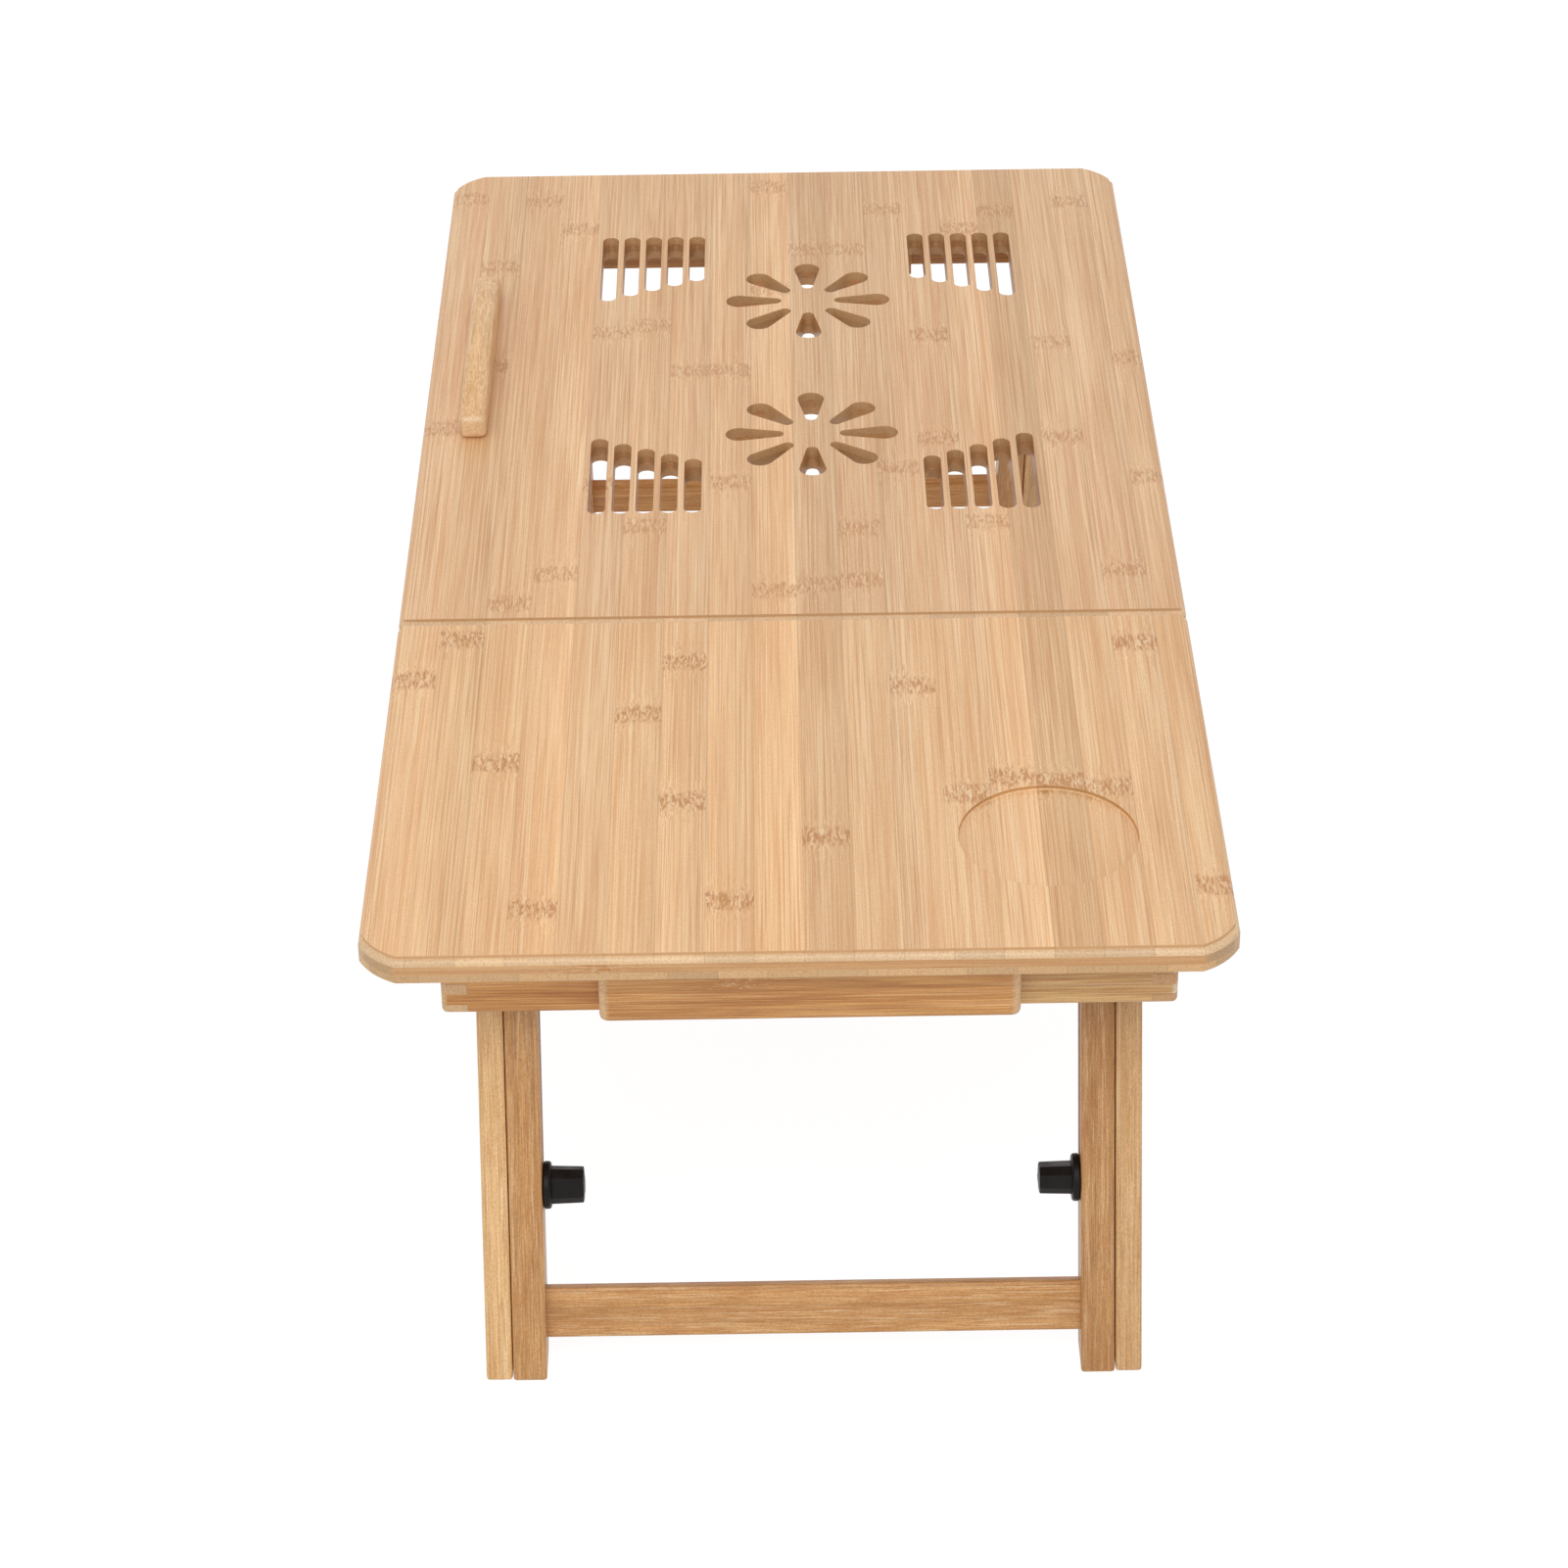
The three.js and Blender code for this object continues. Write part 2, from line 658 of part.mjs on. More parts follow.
// Prop: two arms on an axle under the panel, joined at their feet by a rod
function propPieces(farRackFace, nearRackFace) {
  const farArm = farRackFace + propSideGap;
  const nearArm = nearRackFace - propSideGap - propArmThickness;
  const radius = propArmHeight / 2;
  const outline = new THREE.Shape();
  outline.absarc(footY, propZ, radius, -Math.PI / 2, Math.PI / 2, false);
  outline.absarc(propY, propZ, radius, Math.PI / 2, (Math.PI * 3) / 2, false);
  for (const [name, x] of [["far", farArm], ["near", nearArm]]) {
    const holes = [propY, footY].map((y) =>
      barAlongX(propRodRadius + fit, x - overrun, x + propArmThickness + overrun, y, propZ),
    );
    const arm = crossSlab(outline, x, x + propArmThickness, 0, cornerSteps);
    addPiece(table, `prop_arm_${name}`, cut(arm, holes), frameBamboo);
  }
  const axle = barAlongX(propRodRadius, farArm, nearArm + propArmThickness, propY, propZ);
  addPiece(table, "prop_axle", axle, steel);
  const footStart = farRackFace - rackThickness + propSideGap;
  const footEnd = nearRackFace + rackThickness - propSideGap;
  addPiece(table, "prop_foot_rod", barAlongX(propRodRadius, footStart, footEnd, footY, propZ), steel);
  const farSaddle = farArm + propArmThickness + propSideGap;
  const nearSaddle = nearArm - propSideGap - saddleLength;
  const places = [["far", farSaddle], ["middle", (farSaddle + nearSaddle) / 2], ["near", nearSaddle]];
  for (const [name, x] of places) {
    const body = block(
      [x, propY - saddleWidth / 2, propZ - propRodRadius - fit - saddleWall],
      [x + saddleLength, propY + saddleWidth / 2, underside],
    );
    const hole = barAlongX(propRodRadius + fit, x - overrun, x + saddleLength + overrun, propY, propZ);
    addPiece(table, `prop_saddle_${name}`, cut(body, [hole]), frameBamboo);
  }
}

// Leg pieces are drawn about the pivot, Z up along the leg and X towards its outer face.
// This gives the height on the leg of the floor plane, lifted a little, at a distance from its axis.
function footLine(x, lift) {
  return (lift - legPivotZ - x * Math.sin(legSplay)) / Math.cos(legSplay);
}

// Upper leg: round at its top, so that it swings clear under the top board
function upperLeg(y0, y1, outwards) {
  const half = legDepth / 2;
  const shape = new THREE.Shape();
  shape.absarc(0, 0, half, 0, Math.PI, false);
  shape.lineTo(-half, footLine(-half, upperFootLift));
  shape.lineTo(half, footLine(half, upperFootLift));
  const bar = standingSlab(shape, y0, y1, legEdgeRadius);
  const clampZ = clampFromFoot - legAxisLength;
  const pivotHole = barAlongY(pivotRadius + fit, y0 - overrun, y1 + overrun);
  const clampHole = barAlongY(clampBoltRadius + fit, y0 - overrun, y1 + overrun, 0, clampZ);
  const depth = clampHeadHeight + fit;
  const [head0, head1] = outwards > 0 ? [y1 - depth, y1 + overrun] : [y0 - overrun, y0 + depth];
  const headHole = barAlongY(clampHeadRadius + fit, head0, head1, 0, clampZ);
  return cut(bar, [pivotHole, clampHole, headHole]);
}

// Lower leg: slides along the upper one, with a long slot round the clamp bolt
function lowerLeg(y0, y1) {
  const half = legDepth / 2;
  const top = -lowerLegBelowPivot;
  const shape = roundedOutline([
    [-half, footLine(-half, 0), legCornerRadius],
    [half, footLine(half, 0), legCornerRadius],
    [half, top, legCornerRadius],
    [-half, top, legCornerRadius],
  ]);
  const bar = standingSlab(shape, y0, y1, legEdgeRadius);
  const radius = clampBoltRadius + fit;
  const slotBottom = clampFromFoot - legAxisLength;
  const opening = new THREE.Shape();
  opening.absarc(0, slotBottom, radius, Math.PI, Math.PI * 2, false);
  opening.absarc(0, slotBottom + legExtension, radius, 0, Math.PI, false);
  return cut(bar, [standingSlab(opening, y0 - overrun, y1 + overrun, 0, cornerSteps)]);
}

function crossbar() {
  const low = crossbarLift - legAxisLength;
  const half = crossbarThickness / 2;
  const outline = roundedOutline([
    [-half, low, crossbarEdgeRadius],
    [half, low, crossbarEdgeRadius],
    [half, low + crossbarHeight, crossbarEdgeRadius],
    [-half, low + crossbarHeight, crossbarEdgeRadius],
  ]);
  return standingSlab(outline, -lowerLegInside, lowerLegInside, 0);
}

// A round fastener turned from its profile of [radius, distance along Y] points, its tail towards +Y
function turned(points) {
  return new THREE.LatheGeometry(
    points.map(([radius, along]) => new THREE.Vector2(radius, along)),
    roundSteps,
  );
}

// Pivot rivet: domed head outside the rail, flat head inside the upper leg
function pivotRivet() {
  const outer = -frameSide;
  const inner = upperLegThickness - upperLegOutside + fit;
  return turned([
    [0, outer - pivotHeadHeight],
    [pivotHeadRadius / 2, outer - pivotHeadHeight],
    [pivotHeadRadius, outer - pivotHeadHeight / 3],
    [pivotHeadRadius, outer],
    [pivotRadius, outer],
    [pivotRadius, inner],
    [pivotHeadRadius, inner],
    [pivotHeadRadius, inner + pivotHeadHeight],
    [0, inner + pivotHeadHeight],
  ]);
}

// Clamp bolt: flat head let into the upper leg, tail inside the knob
function clampBolt() {
  const head = fit - upperLegOutside;
  const shoulder = head + clampHeadHeight;
  return turned([
    [0, head],
    [clampHeadRadius, head],
    [clampHeadRadius, shoulder],
    [clampBoltRadius, shoulder],
    [clampBoltRadius, knobBoltReach - lowerLegInside],
    [0, knobBoltReach - lowerLegInside],
  ]);
}

// Clamp knob: a round flange against the lower leg and an eight-sided grip, bored for the bolt
function clampKnob(gripTurn) {
  const face = fit - lowerLegInside;
  const rim = face + knobFlangeThickness;
  const flange = turned([
    [0, face],
    [knobFlangeRadius, face],
    [knobFlangeRadius, rim - knobEdgeRadius],
    [knobFlangeRadius - knobEdgeRadius, rim],
    [0, rim],
  ]);
  const [flatX, flatZ] = [knobGripThickness / 2, knobGripWidth / 2];
  const [cutX, cutZ] = [flatX - knobGripChamfer, flatZ - knobGripChamfer];
  const outline = roundedOutline([
    [-cutX, -flatZ, knobEdgeRadius],
    [cutX, -flatZ, knobEdgeRadius],
    [flatX, -cutZ, knobEdgeRadius],
    [flatX, cutZ, knobEdgeRadius],
    [cutX, flatZ, knobEdgeRadius],
    [-cutX, flatZ, knobEdgeRadius],
    [-flatX, cutZ, knobEdgeRadius],
    [-flatX, -cutZ, knobEdgeRadius],
  ]);
  const grip = standingSlab(outline, rim - knobEdgeRadius * 2, rim + knobGripLength, knobEdgeRadius / 2);
  grip.rotateY(gripTurn);
  const boreEnd = knobBoltReach + knobBoreEnd - lowerLegInside;
  return cut(join([flange, grip]), [barAlongY(clampBoltRadius + fit, face - overrun, boreEnd)]);
}

// One leg frame: upper legs on the frame's rails, lower legs joined by a crossbar, bolts and knobs
function legFrame(end) {
  const atFarEnd = end === "far";
  const turnedRound = new THREE.Group();
  turnedRound.position.y = frameShift;
  turnedRound.rotation.z = atFarEnd ? Math.PI : 0;
  const frame = new THREE.Group();
  frame.position.set(legPivotX, 0, legPivotZ);
  frame.rotation.y = -legSplay;
  turnedRound.add(frame);
  table.add(turnedRound);
  const clampZ = clampFromFoot - legAxisLength;
  for (const outwards of [-1, 1]) {
    const side = (outwards < 0) === atFarEnd ? "back" : "front";
    const name = `${end}_${side}`;
    const span = (a, b) => [Math.min(outwards * a, outwards * b), Math.max(outwards * a, outwards * b)];
    const [upper0, upper1] = span(upperLegOutside, upperLegOutside - upperLegThickness);
    const [lower0, lower1] = span(lowerLegOutside, lowerLegInside);
    addPiece(frame, `upper_leg_${name}`, upperLeg(upper0, upper1, outwards), legBamboo);
    addPiece(frame, `lower_leg_${name}`, lowerLeg(lower0, lower1), legBamboo);
    const facing = outwards > 0 ? Math.PI : 0;
    const gripTurn = side === "front" ? 0 : Math.PI / 2;
    addPiece(frame, `pivot_rivet_${name}`, pivotRivet().rotateZ(facing), steel);
    addPiece(frame, `clamp_bolt_${name}`, clampBolt().rotateZ(facing).translate(0, 0, clampZ), steel);
    const knob = clampKnob(gripTurn).rotateZ(facing).translate(0, 0, clampZ);
    addPiece(frame, `clamp_knob_${name}`, knob, blackPlastic);
  }
  addPiece(frame, `crossbar_${end}`, crossbar(), legBamboo);
}

// The whole table
addPiece(table, "fixed_top", fixedTop(), topBamboo);
addPiece(table, "tilt_panel", tiltPanel(), topBamboo);
addPiece(table, "stop_bar", stopBar(), topBamboo);
addPiece(table, "side_rail_front", sideRail(-1), frameBamboo);
addPiece(table, "side_rail_back", sideRail(1), frameBamboo);
const railInsideFrontY = frameShift - railInside;
const railInsideBackY = frameShift + railInside;
const mouthHalf = drawerHalf + fit;
addPiece(table, "apron_far", endBoard(-1, railInsideFrontY, railInsideBackY, [-1, 1]), frameBamboo);
addPiece(table, "apron_near_front", endBoard(1, railInsideFrontY, frameShift - mouthHalf, [-1]), frameBamboo);
addPiece(table, "apron_near_back", endBoard(1, frameShift + mouthHalf, railInsideBackY, [1]), frameBamboo);
const sill = block(
  [apronInside, frameShift - mouthHalf, railBottom],
  [frameEnd, frameShift + mouthHalf, drawerFloor - fit],
);
addPiece(table, "drawer_sill", common(sill, frameEnvelope()), frameBamboo);
const middleRail = block(
  [middleRailX, railInsideFrontY, railBottom],
  [middleRailX + middleRailThickness, railInsideBackY, underside],
);
addPiece(table, "middle_rail", middleRail, frameBamboo);
addPiece(table, "drawer_runner_front", drawerRunner(-1), frameBamboo);
addPiece(table, "drawer_runner_back", drawerRunner(1), frameBamboo);
drawerPieces();
for (const [endName, end] of [["near", 1], ["far", -1]]) {
  for (const [sideName, side] of [["front", -1], ["back", 1]]) {
    addPiece(table, `leg_stop_${endName}_${sideName}`, legStop(end, side), legBamboo);
  }
}
tiltHinge("far", hingeFromPanelEnd - tableEnd);
tiltHinge("near", panelEnd - hingeFromPanelEnd);
addPiece(table, "tilt_rack_far", tiltRack(-apronInside), frameBamboo);
addPiece(table, "tilt_rack_near", tiltRack(middleRailX - rackThickness), frameBamboo);
propPieces(rackThickness - apronInside, middleRailX - rackThickness);
legFrame("near");
legFrame("far");

export default table;
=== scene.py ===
"""A folding laptop table of laminated bamboo: its finer shapes, its finishes and a plain studio.

Metres, +Z up, the drawer end towards +X and the user's side towards -Y.
"""

import math
from functools import partial

import bmesh
import bpy
import numpy as np
from bpy.props import FloatProperty, FloatVectorProperty, IntProperty, PointerProperty
from mathutils import Matrix, Vector


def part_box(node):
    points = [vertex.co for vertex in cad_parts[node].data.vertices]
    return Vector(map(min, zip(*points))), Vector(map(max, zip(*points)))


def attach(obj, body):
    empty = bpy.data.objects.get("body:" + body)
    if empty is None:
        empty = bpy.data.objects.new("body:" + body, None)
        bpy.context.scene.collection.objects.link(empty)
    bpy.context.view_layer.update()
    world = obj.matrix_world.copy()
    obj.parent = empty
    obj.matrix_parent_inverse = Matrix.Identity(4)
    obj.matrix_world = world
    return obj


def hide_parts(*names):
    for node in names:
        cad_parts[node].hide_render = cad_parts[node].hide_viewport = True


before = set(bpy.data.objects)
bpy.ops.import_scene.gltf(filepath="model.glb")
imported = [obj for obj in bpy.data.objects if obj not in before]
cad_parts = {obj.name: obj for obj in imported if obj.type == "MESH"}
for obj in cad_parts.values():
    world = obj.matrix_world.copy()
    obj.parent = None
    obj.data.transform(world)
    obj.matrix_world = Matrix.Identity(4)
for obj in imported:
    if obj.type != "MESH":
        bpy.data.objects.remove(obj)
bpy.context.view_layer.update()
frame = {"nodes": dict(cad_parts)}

bl_info = {
    "name": "Folding laptop table",
    "version": (1, 0, 0),
    "blender": (4, 5, 0),
    "location": "3D View > Sidebar > Laptop table",
    "description": "Dresses a folding bamboo laptop table and sets it in a plain studio",
    "category": "Object",
}

MM = 0.001
ENDS = {"near": 1, "far": -1}
SIDES = {"front": -1, "back": 1}
# Cutters reach this far past what they cut
OVERRUN = 5 * MM
HALF_TURN = Matrix.Rotation(math.pi, 4, "Z")


# Sizes and colours


def linear(code):
    """The linear red, green and blue of an sRGB hex colour."""
    channels = [int(code[i : i + 2], 16) / 255 for i in (1, 3, 5)]
    return tuple(c / 12.92 if c <= 0.04045 else ((c + 0.055) / 1.055) ** 2.4 for c in channels)


def length(name, description, millimetres):
    """A length that the user can change."""
    return FloatProperty(
        name=name, description=description, default=millimetres * MM, min=0, unit="LENGTH", precision=4
    )


def colour(name, description, code):
    """A colour that the user can change."""
    return FloatVectorProperty(
        name=name, description=description, default=linear(code), min=0, max=1, size=3, subtype="COLOR"
    )


class TableTopSizes(bpy.types.PropertyGroup):
    """Sizes of the two boards of the top."""

    bead_width: length("Bead width", "Width of the rounded bead round the top", 2.2)
    bead_depth: length("Bead depth", "Height of the rounded bead", 2.5)
    quirk_depth: length("Step", "Height of the step above the bead", 1.5)
    underside_ease: length("Underside ease", "Rounding under the boards", 0.6)
    rim_ease: length("Rim ease", "Rounding of cut rims", 0.35)
    end_cut: length("End corner cut", "Where an end corner's arc meets the edges", 15.5)
    end_radius: length("End corner radius", "Radius of an end corner's arc", 32)
    seam_cut: length("Seam corner cut", "Where a seam corner's arc meets the edges", 3)
    seam_radius: length("Seam corner radius", "Radius of a seam corner's arc", 3)
    cup_radius: length("Cup radius", "Radius of the cup recess", 36.8)
    cup_depth: length("Cup depth", "Depth of the cup recess", 2)
    cup_fillet: length("Cup fillet", "Rounding at the foot of the recess", 1)
    cup_from_end: length("Cup from end", "From the drawer end to the middle of the recess", 81.1)
    cup_from_back: length("Cup from back", "From the back edge to the middle of the recess", 72.2)


class VentSizes(bpy.types.PropertyGroup):
    """Sizes of the air vents."""

    from_far_end: length("From far end", "From the far end to the middle of the vents", 223.2)
    from_front: length("From front", "From the front edge to the middle of the vents", 186)
    flower_spacing: length("Flower spacing", "Between the middles of the two flowers", 140)
    petal_count: IntProperty(name="Petals", description="Petals in a flower", default=8, min=3)
    petal_start: length("Petal start", "From the middle of a flower to a petal's point", 13.5)
    petal_end: length("Petal end", "From the middle of a flower to a petal's round end", 41)
    petal_width: length("Petal width", "Widest part of a petal", 12.5)
    petal_tip: length("Petal tip", "Radius of a petal's point", 2.8)
    slot_count: IntProperty(name="Slots", description="Slots in a group", default=5, min=1)
    slot_width: length("Slot width", "Width of a slot", 8)
    slot_pitch: length("Slot pitch", "Between neighbouring slots", 11.15)
    first_slot: length("First slot", "From the middle line to the first slot", 56.3)
    slot_reach: length("Slot reach", "From the middle of the vents to the slots' outer ends", 144.6)
    shortest_slot: length("Shortest slot", "Length of the innermost slot", 51)
    slot_growth: length("Slot growth", "How much longer each next slot is", 5.25)


class FrameSizes(bpy.types.PropertyGroup):
    """Sizes of the frame, the drawer and the stop bar."""

    corner: length("Frame corner", "Rounding of the frame's upright corners", 3)
    foot_ease: length("Frame foot", "Rounding under the rails", 1.8)
    finger: length("Finger", "Height of a finger of the corner joints", 5)
    lowest_finger: length("Lowest finger", "Height of the side rail's lowest finger", 4.5)
    joint_ease: length("Joint ease", "Rounding that shows the joints as fine lines", 0.22)
    drawer_round: length("Drawer rounding", "Rounding of the drawer front's face", 2.5)
    drawer_corner: length("Drawer corner", "Rounding of the drawer front's corners", 3.5)
    drawer_end_share: FloatProperty(
        name="Drawer end rounding",
        description="How much wider the drawer front's ends are rounded",
        default=1.8,
    )
    stop_corner: length("Stop bar corner", "Rounding of the stop bar's ends", 3)
    stop_edge: length("Stop bar edge", "Rounding along the stop bar", 4.2)
    stop_end: length("Stop bar end", "Height of the stop bar at its ends", 11.5)


class LegSizes(bpy.types.PropertyGroup):
    """Sizes of the legs and their clamps."""

    edge: length("Leg edge", "Rounding along the leg bars", 1.2)
    corner: length("Leg corner", "Rounding of the lower bars' corners", 2)
    upper_lift: length("Upper foot lift", "The upper bars end this far above the floor", 1)
    lower_top: length("Lower bar top", "From the pivot down to the lower bar", 26.6)
    slot_travel: length("Slot travel", "How far the lower bars slide out", 80.09)
    bore: length("Bore", "Radius of the holes for the bolts", 3.3)
    bolt_seat: length("Bolt seat", "Radius of the seat of a bolt's head", 6.3)
    bolt_seat_depth: length("Bolt seat depth", "Depth of the seat of a bolt's head", 2.8)
    crossbar_lift: length("Crossbar lift", "From the foot up to the crossbar", 13.4)
    crossbar_height: length("Crossbar height", "Height of the crossbar", 21.6)
    crossbar_thickness: length("Crossbar thickness", "Thickness of the crossbar", 7)
    knob_flange: length("Knob flange", "Radius of a knob's flange", 10)
    knob_flange_height: length("Knob flange height", "Thickness of a knob's flange", 3.2)
    knob_width: length("Knob width", "Width of a knob's grip", 15.2)
    knob_thickness: length("Knob thickness", "Thickness of a knob's grip", 12.2)
    knob_chamfer: length("Knob chamfer", "Chamfer along a knob's grip", 3.3)
    rivet_head: length("Rivet head", "Radius of the pivot rivets' heads", 6)
    rivet_dome: length("Rivet dome", "Height of the pivot rivets' heads", 2.4)


class Finishes(bpy.types.PropertyGroup):
    """Colours of the materials."""

    near_pale: colour("Fixed top, pale", "Pale fibres of the fixed top", "#F0C898")
    near_deep: colour("Fixed top, deep", "Deep fibres of the fixed top", "#DAA570")
    # The panel's colours are a little darker and greyer than the fixed top's, the boards being alike:
    # painted shade and painted sheen on the farther board
    far_pale: colour("Panel, pale", "Pale fibres of the tilting panel", "#EBC497")
    far_deep: colour("Panel, deep", "Deep fibres of the tilting panel", "#D4A06F")
    stop_pale: colour("Stop bar, pale", "Pale fibres of the stop bar", "#EFC490")
    stop_deep: colour("Stop bar, deep", "Deep fibres of the stop bar", "#D2A167")
    frame_pale: colour("Frame, pale", "Pale fibres of the frame", "#D49F5C")
    frame_deep: colour("Frame, deep", "Deep fibres of the frame", "#9C622A")
    outer_pale: colour("Upper legs, pale", "Pale fibres of the upper legs", "#E8C08C")
    outer_deep: colour("Upper legs, deep", "Deep fibres of the upper legs", "#CE9F66")
    inner_pale: colour("Lower legs, pale", "Pale fibres of the lower legs", "#D2A066")
    inner_deep: colour("Lower legs, deep", "Deep fibres of the lower legs", "#B07B40")
    pore: colour("Fibre lines", "Fine reddish fibre lines", "#B0713C")
    end_grain: colour("End grain", "End grain of the boards", "#DFBE95")
    rail_end: colour("Rail end grain", "End grain of the frame and the drawer front", "#E2BC8E")
    # A painted warm glow of the lacquer along the boards' long edges
    side_glow: colour("Long edge", "Warm tint along the boards' long edges", "#DDA160")
    node_dark: colour("Node, dark", "Dark streaks at the nodes of the culm", "#B4763A")
    node_pale: colour("Node, pale", "Pale streaks at the nodes of the culm", "#F0D4AE")
    steel: colour("Steel", "Zinc plate on the hinges, bolts and rods", "#C3C5C8")
    plastic: colour("Plastic", "Moulded plastic of the knobs", "#151211")


class StudioSettings(bpy.types.PropertyGroup):
    """Camera, floor and light."""

    lens: FloatProperty(name="Lens", description="Focal length of the camera", default=97.883, unit="CAMERA")
    pitch: FloatProperty(
        name="Pitch",
        description="The camera looks down by this",
        default=math.radians(33.2172),
        subtype="ANGLE",
    )
    yaw: FloatProperty(
        name="Yaw", description="The camera turns aside by this", default=0.0013018, subtype="ANGLE"
    )
    roll: FloatProperty(name="Roll", description="Turn of the picture", default=0.014154, subtype="ANGLE")
    camera: FloatVectorProperty(
        name="Camera",
        description="Where the camera stands",
        default=(1.72521, -0.00693, 1.18671),
        unit="LENGTH",
    )
    key: FloatProperty(name="Key light", description="Power of the large lamp", default=29, unit="POWER")
    sky: FloatProperty(name="Sky", description="Strength of the even light all round", default=0.76, min=0)
    shadow: FloatProperty(
        name="Floor shadow", description="How much of the object's shadow shows", default=0.18, min=0, max=1
    )


class LaptopTable(bpy.types.PropertyGroup):
    """Everything a user would change."""

    top: PointerProperty(type=TableTopSizes)
    vents: PointerProperty(type=VentSizes)
    frame: PointerProperty(type=FrameSizes)
    legs: PointerProperty(type=LegSizes)
    finish: PointerProperty(type=Finishes)
    studio: PointerProperty(type=StudioSettings)


# Shapes


def linked(name, data):
    """A new object in the scene with its mesh, lamp or camera."""
    piece = bpy.data.objects.new(name, data)
    bpy.context.scene.collection.objects.link(piece)
    return piece


def sculpted(name, shape):
    """A new object in the scene with the mesh of a finished edit mesh."""
    mesh = bpy.data.meshes.new(name)
    shape.to_mesh(mesh)
    shape.free()
    return linked(name, mesh)


def loft(name, rings):
    """A closed solid through rings of as many points each. A ring may be a single point, repeated."""
    shape = bmesh.new()
    corners = [shape.verts.new(point) for ring in rings for point in ring]
    count = len(rings[0])
    last = len(corners) - count
    faces = [range(count), range(last, last + count)]
    for level in range(0, last, count):
        for i in range(count):
            a, b = level + i, level + (i + 1) % count
            faces.append((a, b, b + count, a + count))
    for face in faces:
        shape.faces.new([corners[i] for i in face])
    bmesh.ops.remove_doubles(shape, verts=shape.verts, dist=1e-7)
    bmesh.ops.recalc_face_normals(shape, faces=shape.faces)
    return sculpted(name, shape)


def lifted(outline, axis, place):
    """A flat outline set across an axis: (x, z) across Y, (y, z) across X, (x, y) across Z."""
    order = {
        "X": lambda u, v: (place, u, v),
        "Y": lambda u, v: (u, place, v),
        "Z": lambda u, v: (u, v, place),
    }
    return [order[axis](u, v) for u, v in outline]


def prism(name, outline, axis, low, high):
    """An outline pulled straight between two places on an axis."""
    return loft(name, [lifted(outline, axis, low), lifted(outline, axis, high)])


def block(name, low, high):
    """A box between two corners, used for cutting and as a start."""
    (x0, y0, z0), (x1, y1, z1) = low, high
    return prism(name, [(x0, y0), (x1, y0), (x1, y1), (x0, y1)], "Z", z0, z1)


def arc(x, y, radius, start, end, steps=16):
    """Points along an arc."""
    turns = [start + (end - start) * i / steps for i in range(steps + 1)]
    return [(x + radius * math.cos(t), y + radius * math.sin(t)) for t in turns]


def quarter(steps):
    """The sine and cosine of each step of a quarter turn."""
    turns = [step / steps * math.pi / 2 for step in range(steps + 1)]
    return [(math.sin(turn), math.cos(turn)) for turn in turns]


def rounded(corners, steps=6):
    """An outline through corners (x, y, radius), each rounded off."""
    outline = []
    for i, (x, y, radius) in enumerate(corners):
        corner = Vector((x, y))
        before = (Vector(corners[i - 1][:2]) - corner).normalized()
        after = (Vector(corners[(i + 1) % len(corners)][:2]) - corner).normalized()
        reach = radius / math.tan(before.angle(after) / 2)
        start, end = corner + before * reach, corner + after * reach
        for step in range(steps + 1):
            t = step / steps
            outline.append(tuple(start * (1 - t) ** 2 + corner * 2 * t * (1 - t) + end * t**2))
    return outline


def rounded_box(half_width, half_height, radius, middle, steps=6):
    """A rounded rectangle about a middle."""
    x, y = middle
    signs = [(-1, -1), (1, -1), (1, 1), (-1, 1)]
    return rounded([(x + half_width * i, y + half_height * j, radius) for i, j in signs], steps)


def turned(name, profile, steps):
    """A round piece turned about Y from (radius, along) points that start and end on Y."""
    turns = [2 * math.pi * i / steps for i in range(steps)]
    rings = []
    for radius, along in profile:
        rings.append([(radius * math.cos(t), along, radius * math.sin(t)) for t in turns])
    return loft(name, rings)


def moved(piece, *matrices):
    """Moves a piece's own points by matrices, the first one first."""
    for matrix in matrices:
        piece.data.transform(matrix)
    return piece


def rod(name, radius, low, high, axis, place, ease=0.4 * MM):
    """A round rod with eased ends along X or Y, at a place on the other two axes."""
    profile = [(0, low), (radius - ease, low), (radius, low + ease)]
    profile += [(radius, high - ease), (radius - ease, high), (0, high)]
    piece = turned(name, profile, 32)
    if axis == "X":
        return moved(piece, Matrix.Rotation(-math.pi / 2, 4, "Z"), Matrix.Translation((0, *place)))
    return moved(piece, Matrix.Translation((place[0], 0, place[1])))


def realise(piece):
    """Makes what the modifiers show the piece's own plain mesh."""
    bpy.context.view_layer.update()
    shown = piece.evaluated_get(bpy.context.evaluated_depsgraph_get())
    mesh = bpy.data.meshes.new_from_object(shown)
    if not mesh.polygons:
        raise RuntimeError(f"{piece.name} has no faces left")
    piece.modifiers.clear()
    old, piece.data = piece.data, mesh
    bpy.data.meshes.remove(old)
    return piece


def modified(piece, kind, **settings):
    """Adds a modifier, makes it real and removes it."""
    modifier = piece.modifiers.new(kind.title(), kind)
    for key, value in settings.items():
        setattr(modifier, key, value)
    return realise(piece)


def joined(piece, tools, operation="DIFFERENCE"):
    """Cuts tools from a piece, adds them to it, or keeps what they share, and removes the tools."""
    for tool in tools:
        modified(piece, "BOOLEAN", object=tool, operation=operation, solver="EXACT")
    for tool in tools:
        mesh = tool.data
        bpy.data.objects.remove(tool)
        bpy.data.meshes.remove(mesh)
    return piece


def eased(piece, width, segments=2, angle=35):
    """Rounds every edge sharper than an angle."""
    return modified(
        piece,
        "BEVEL",
        width=width,
        segments=segments,
        limit_method="ANGLE",
        angle_limit=math.radians(angle),
    )


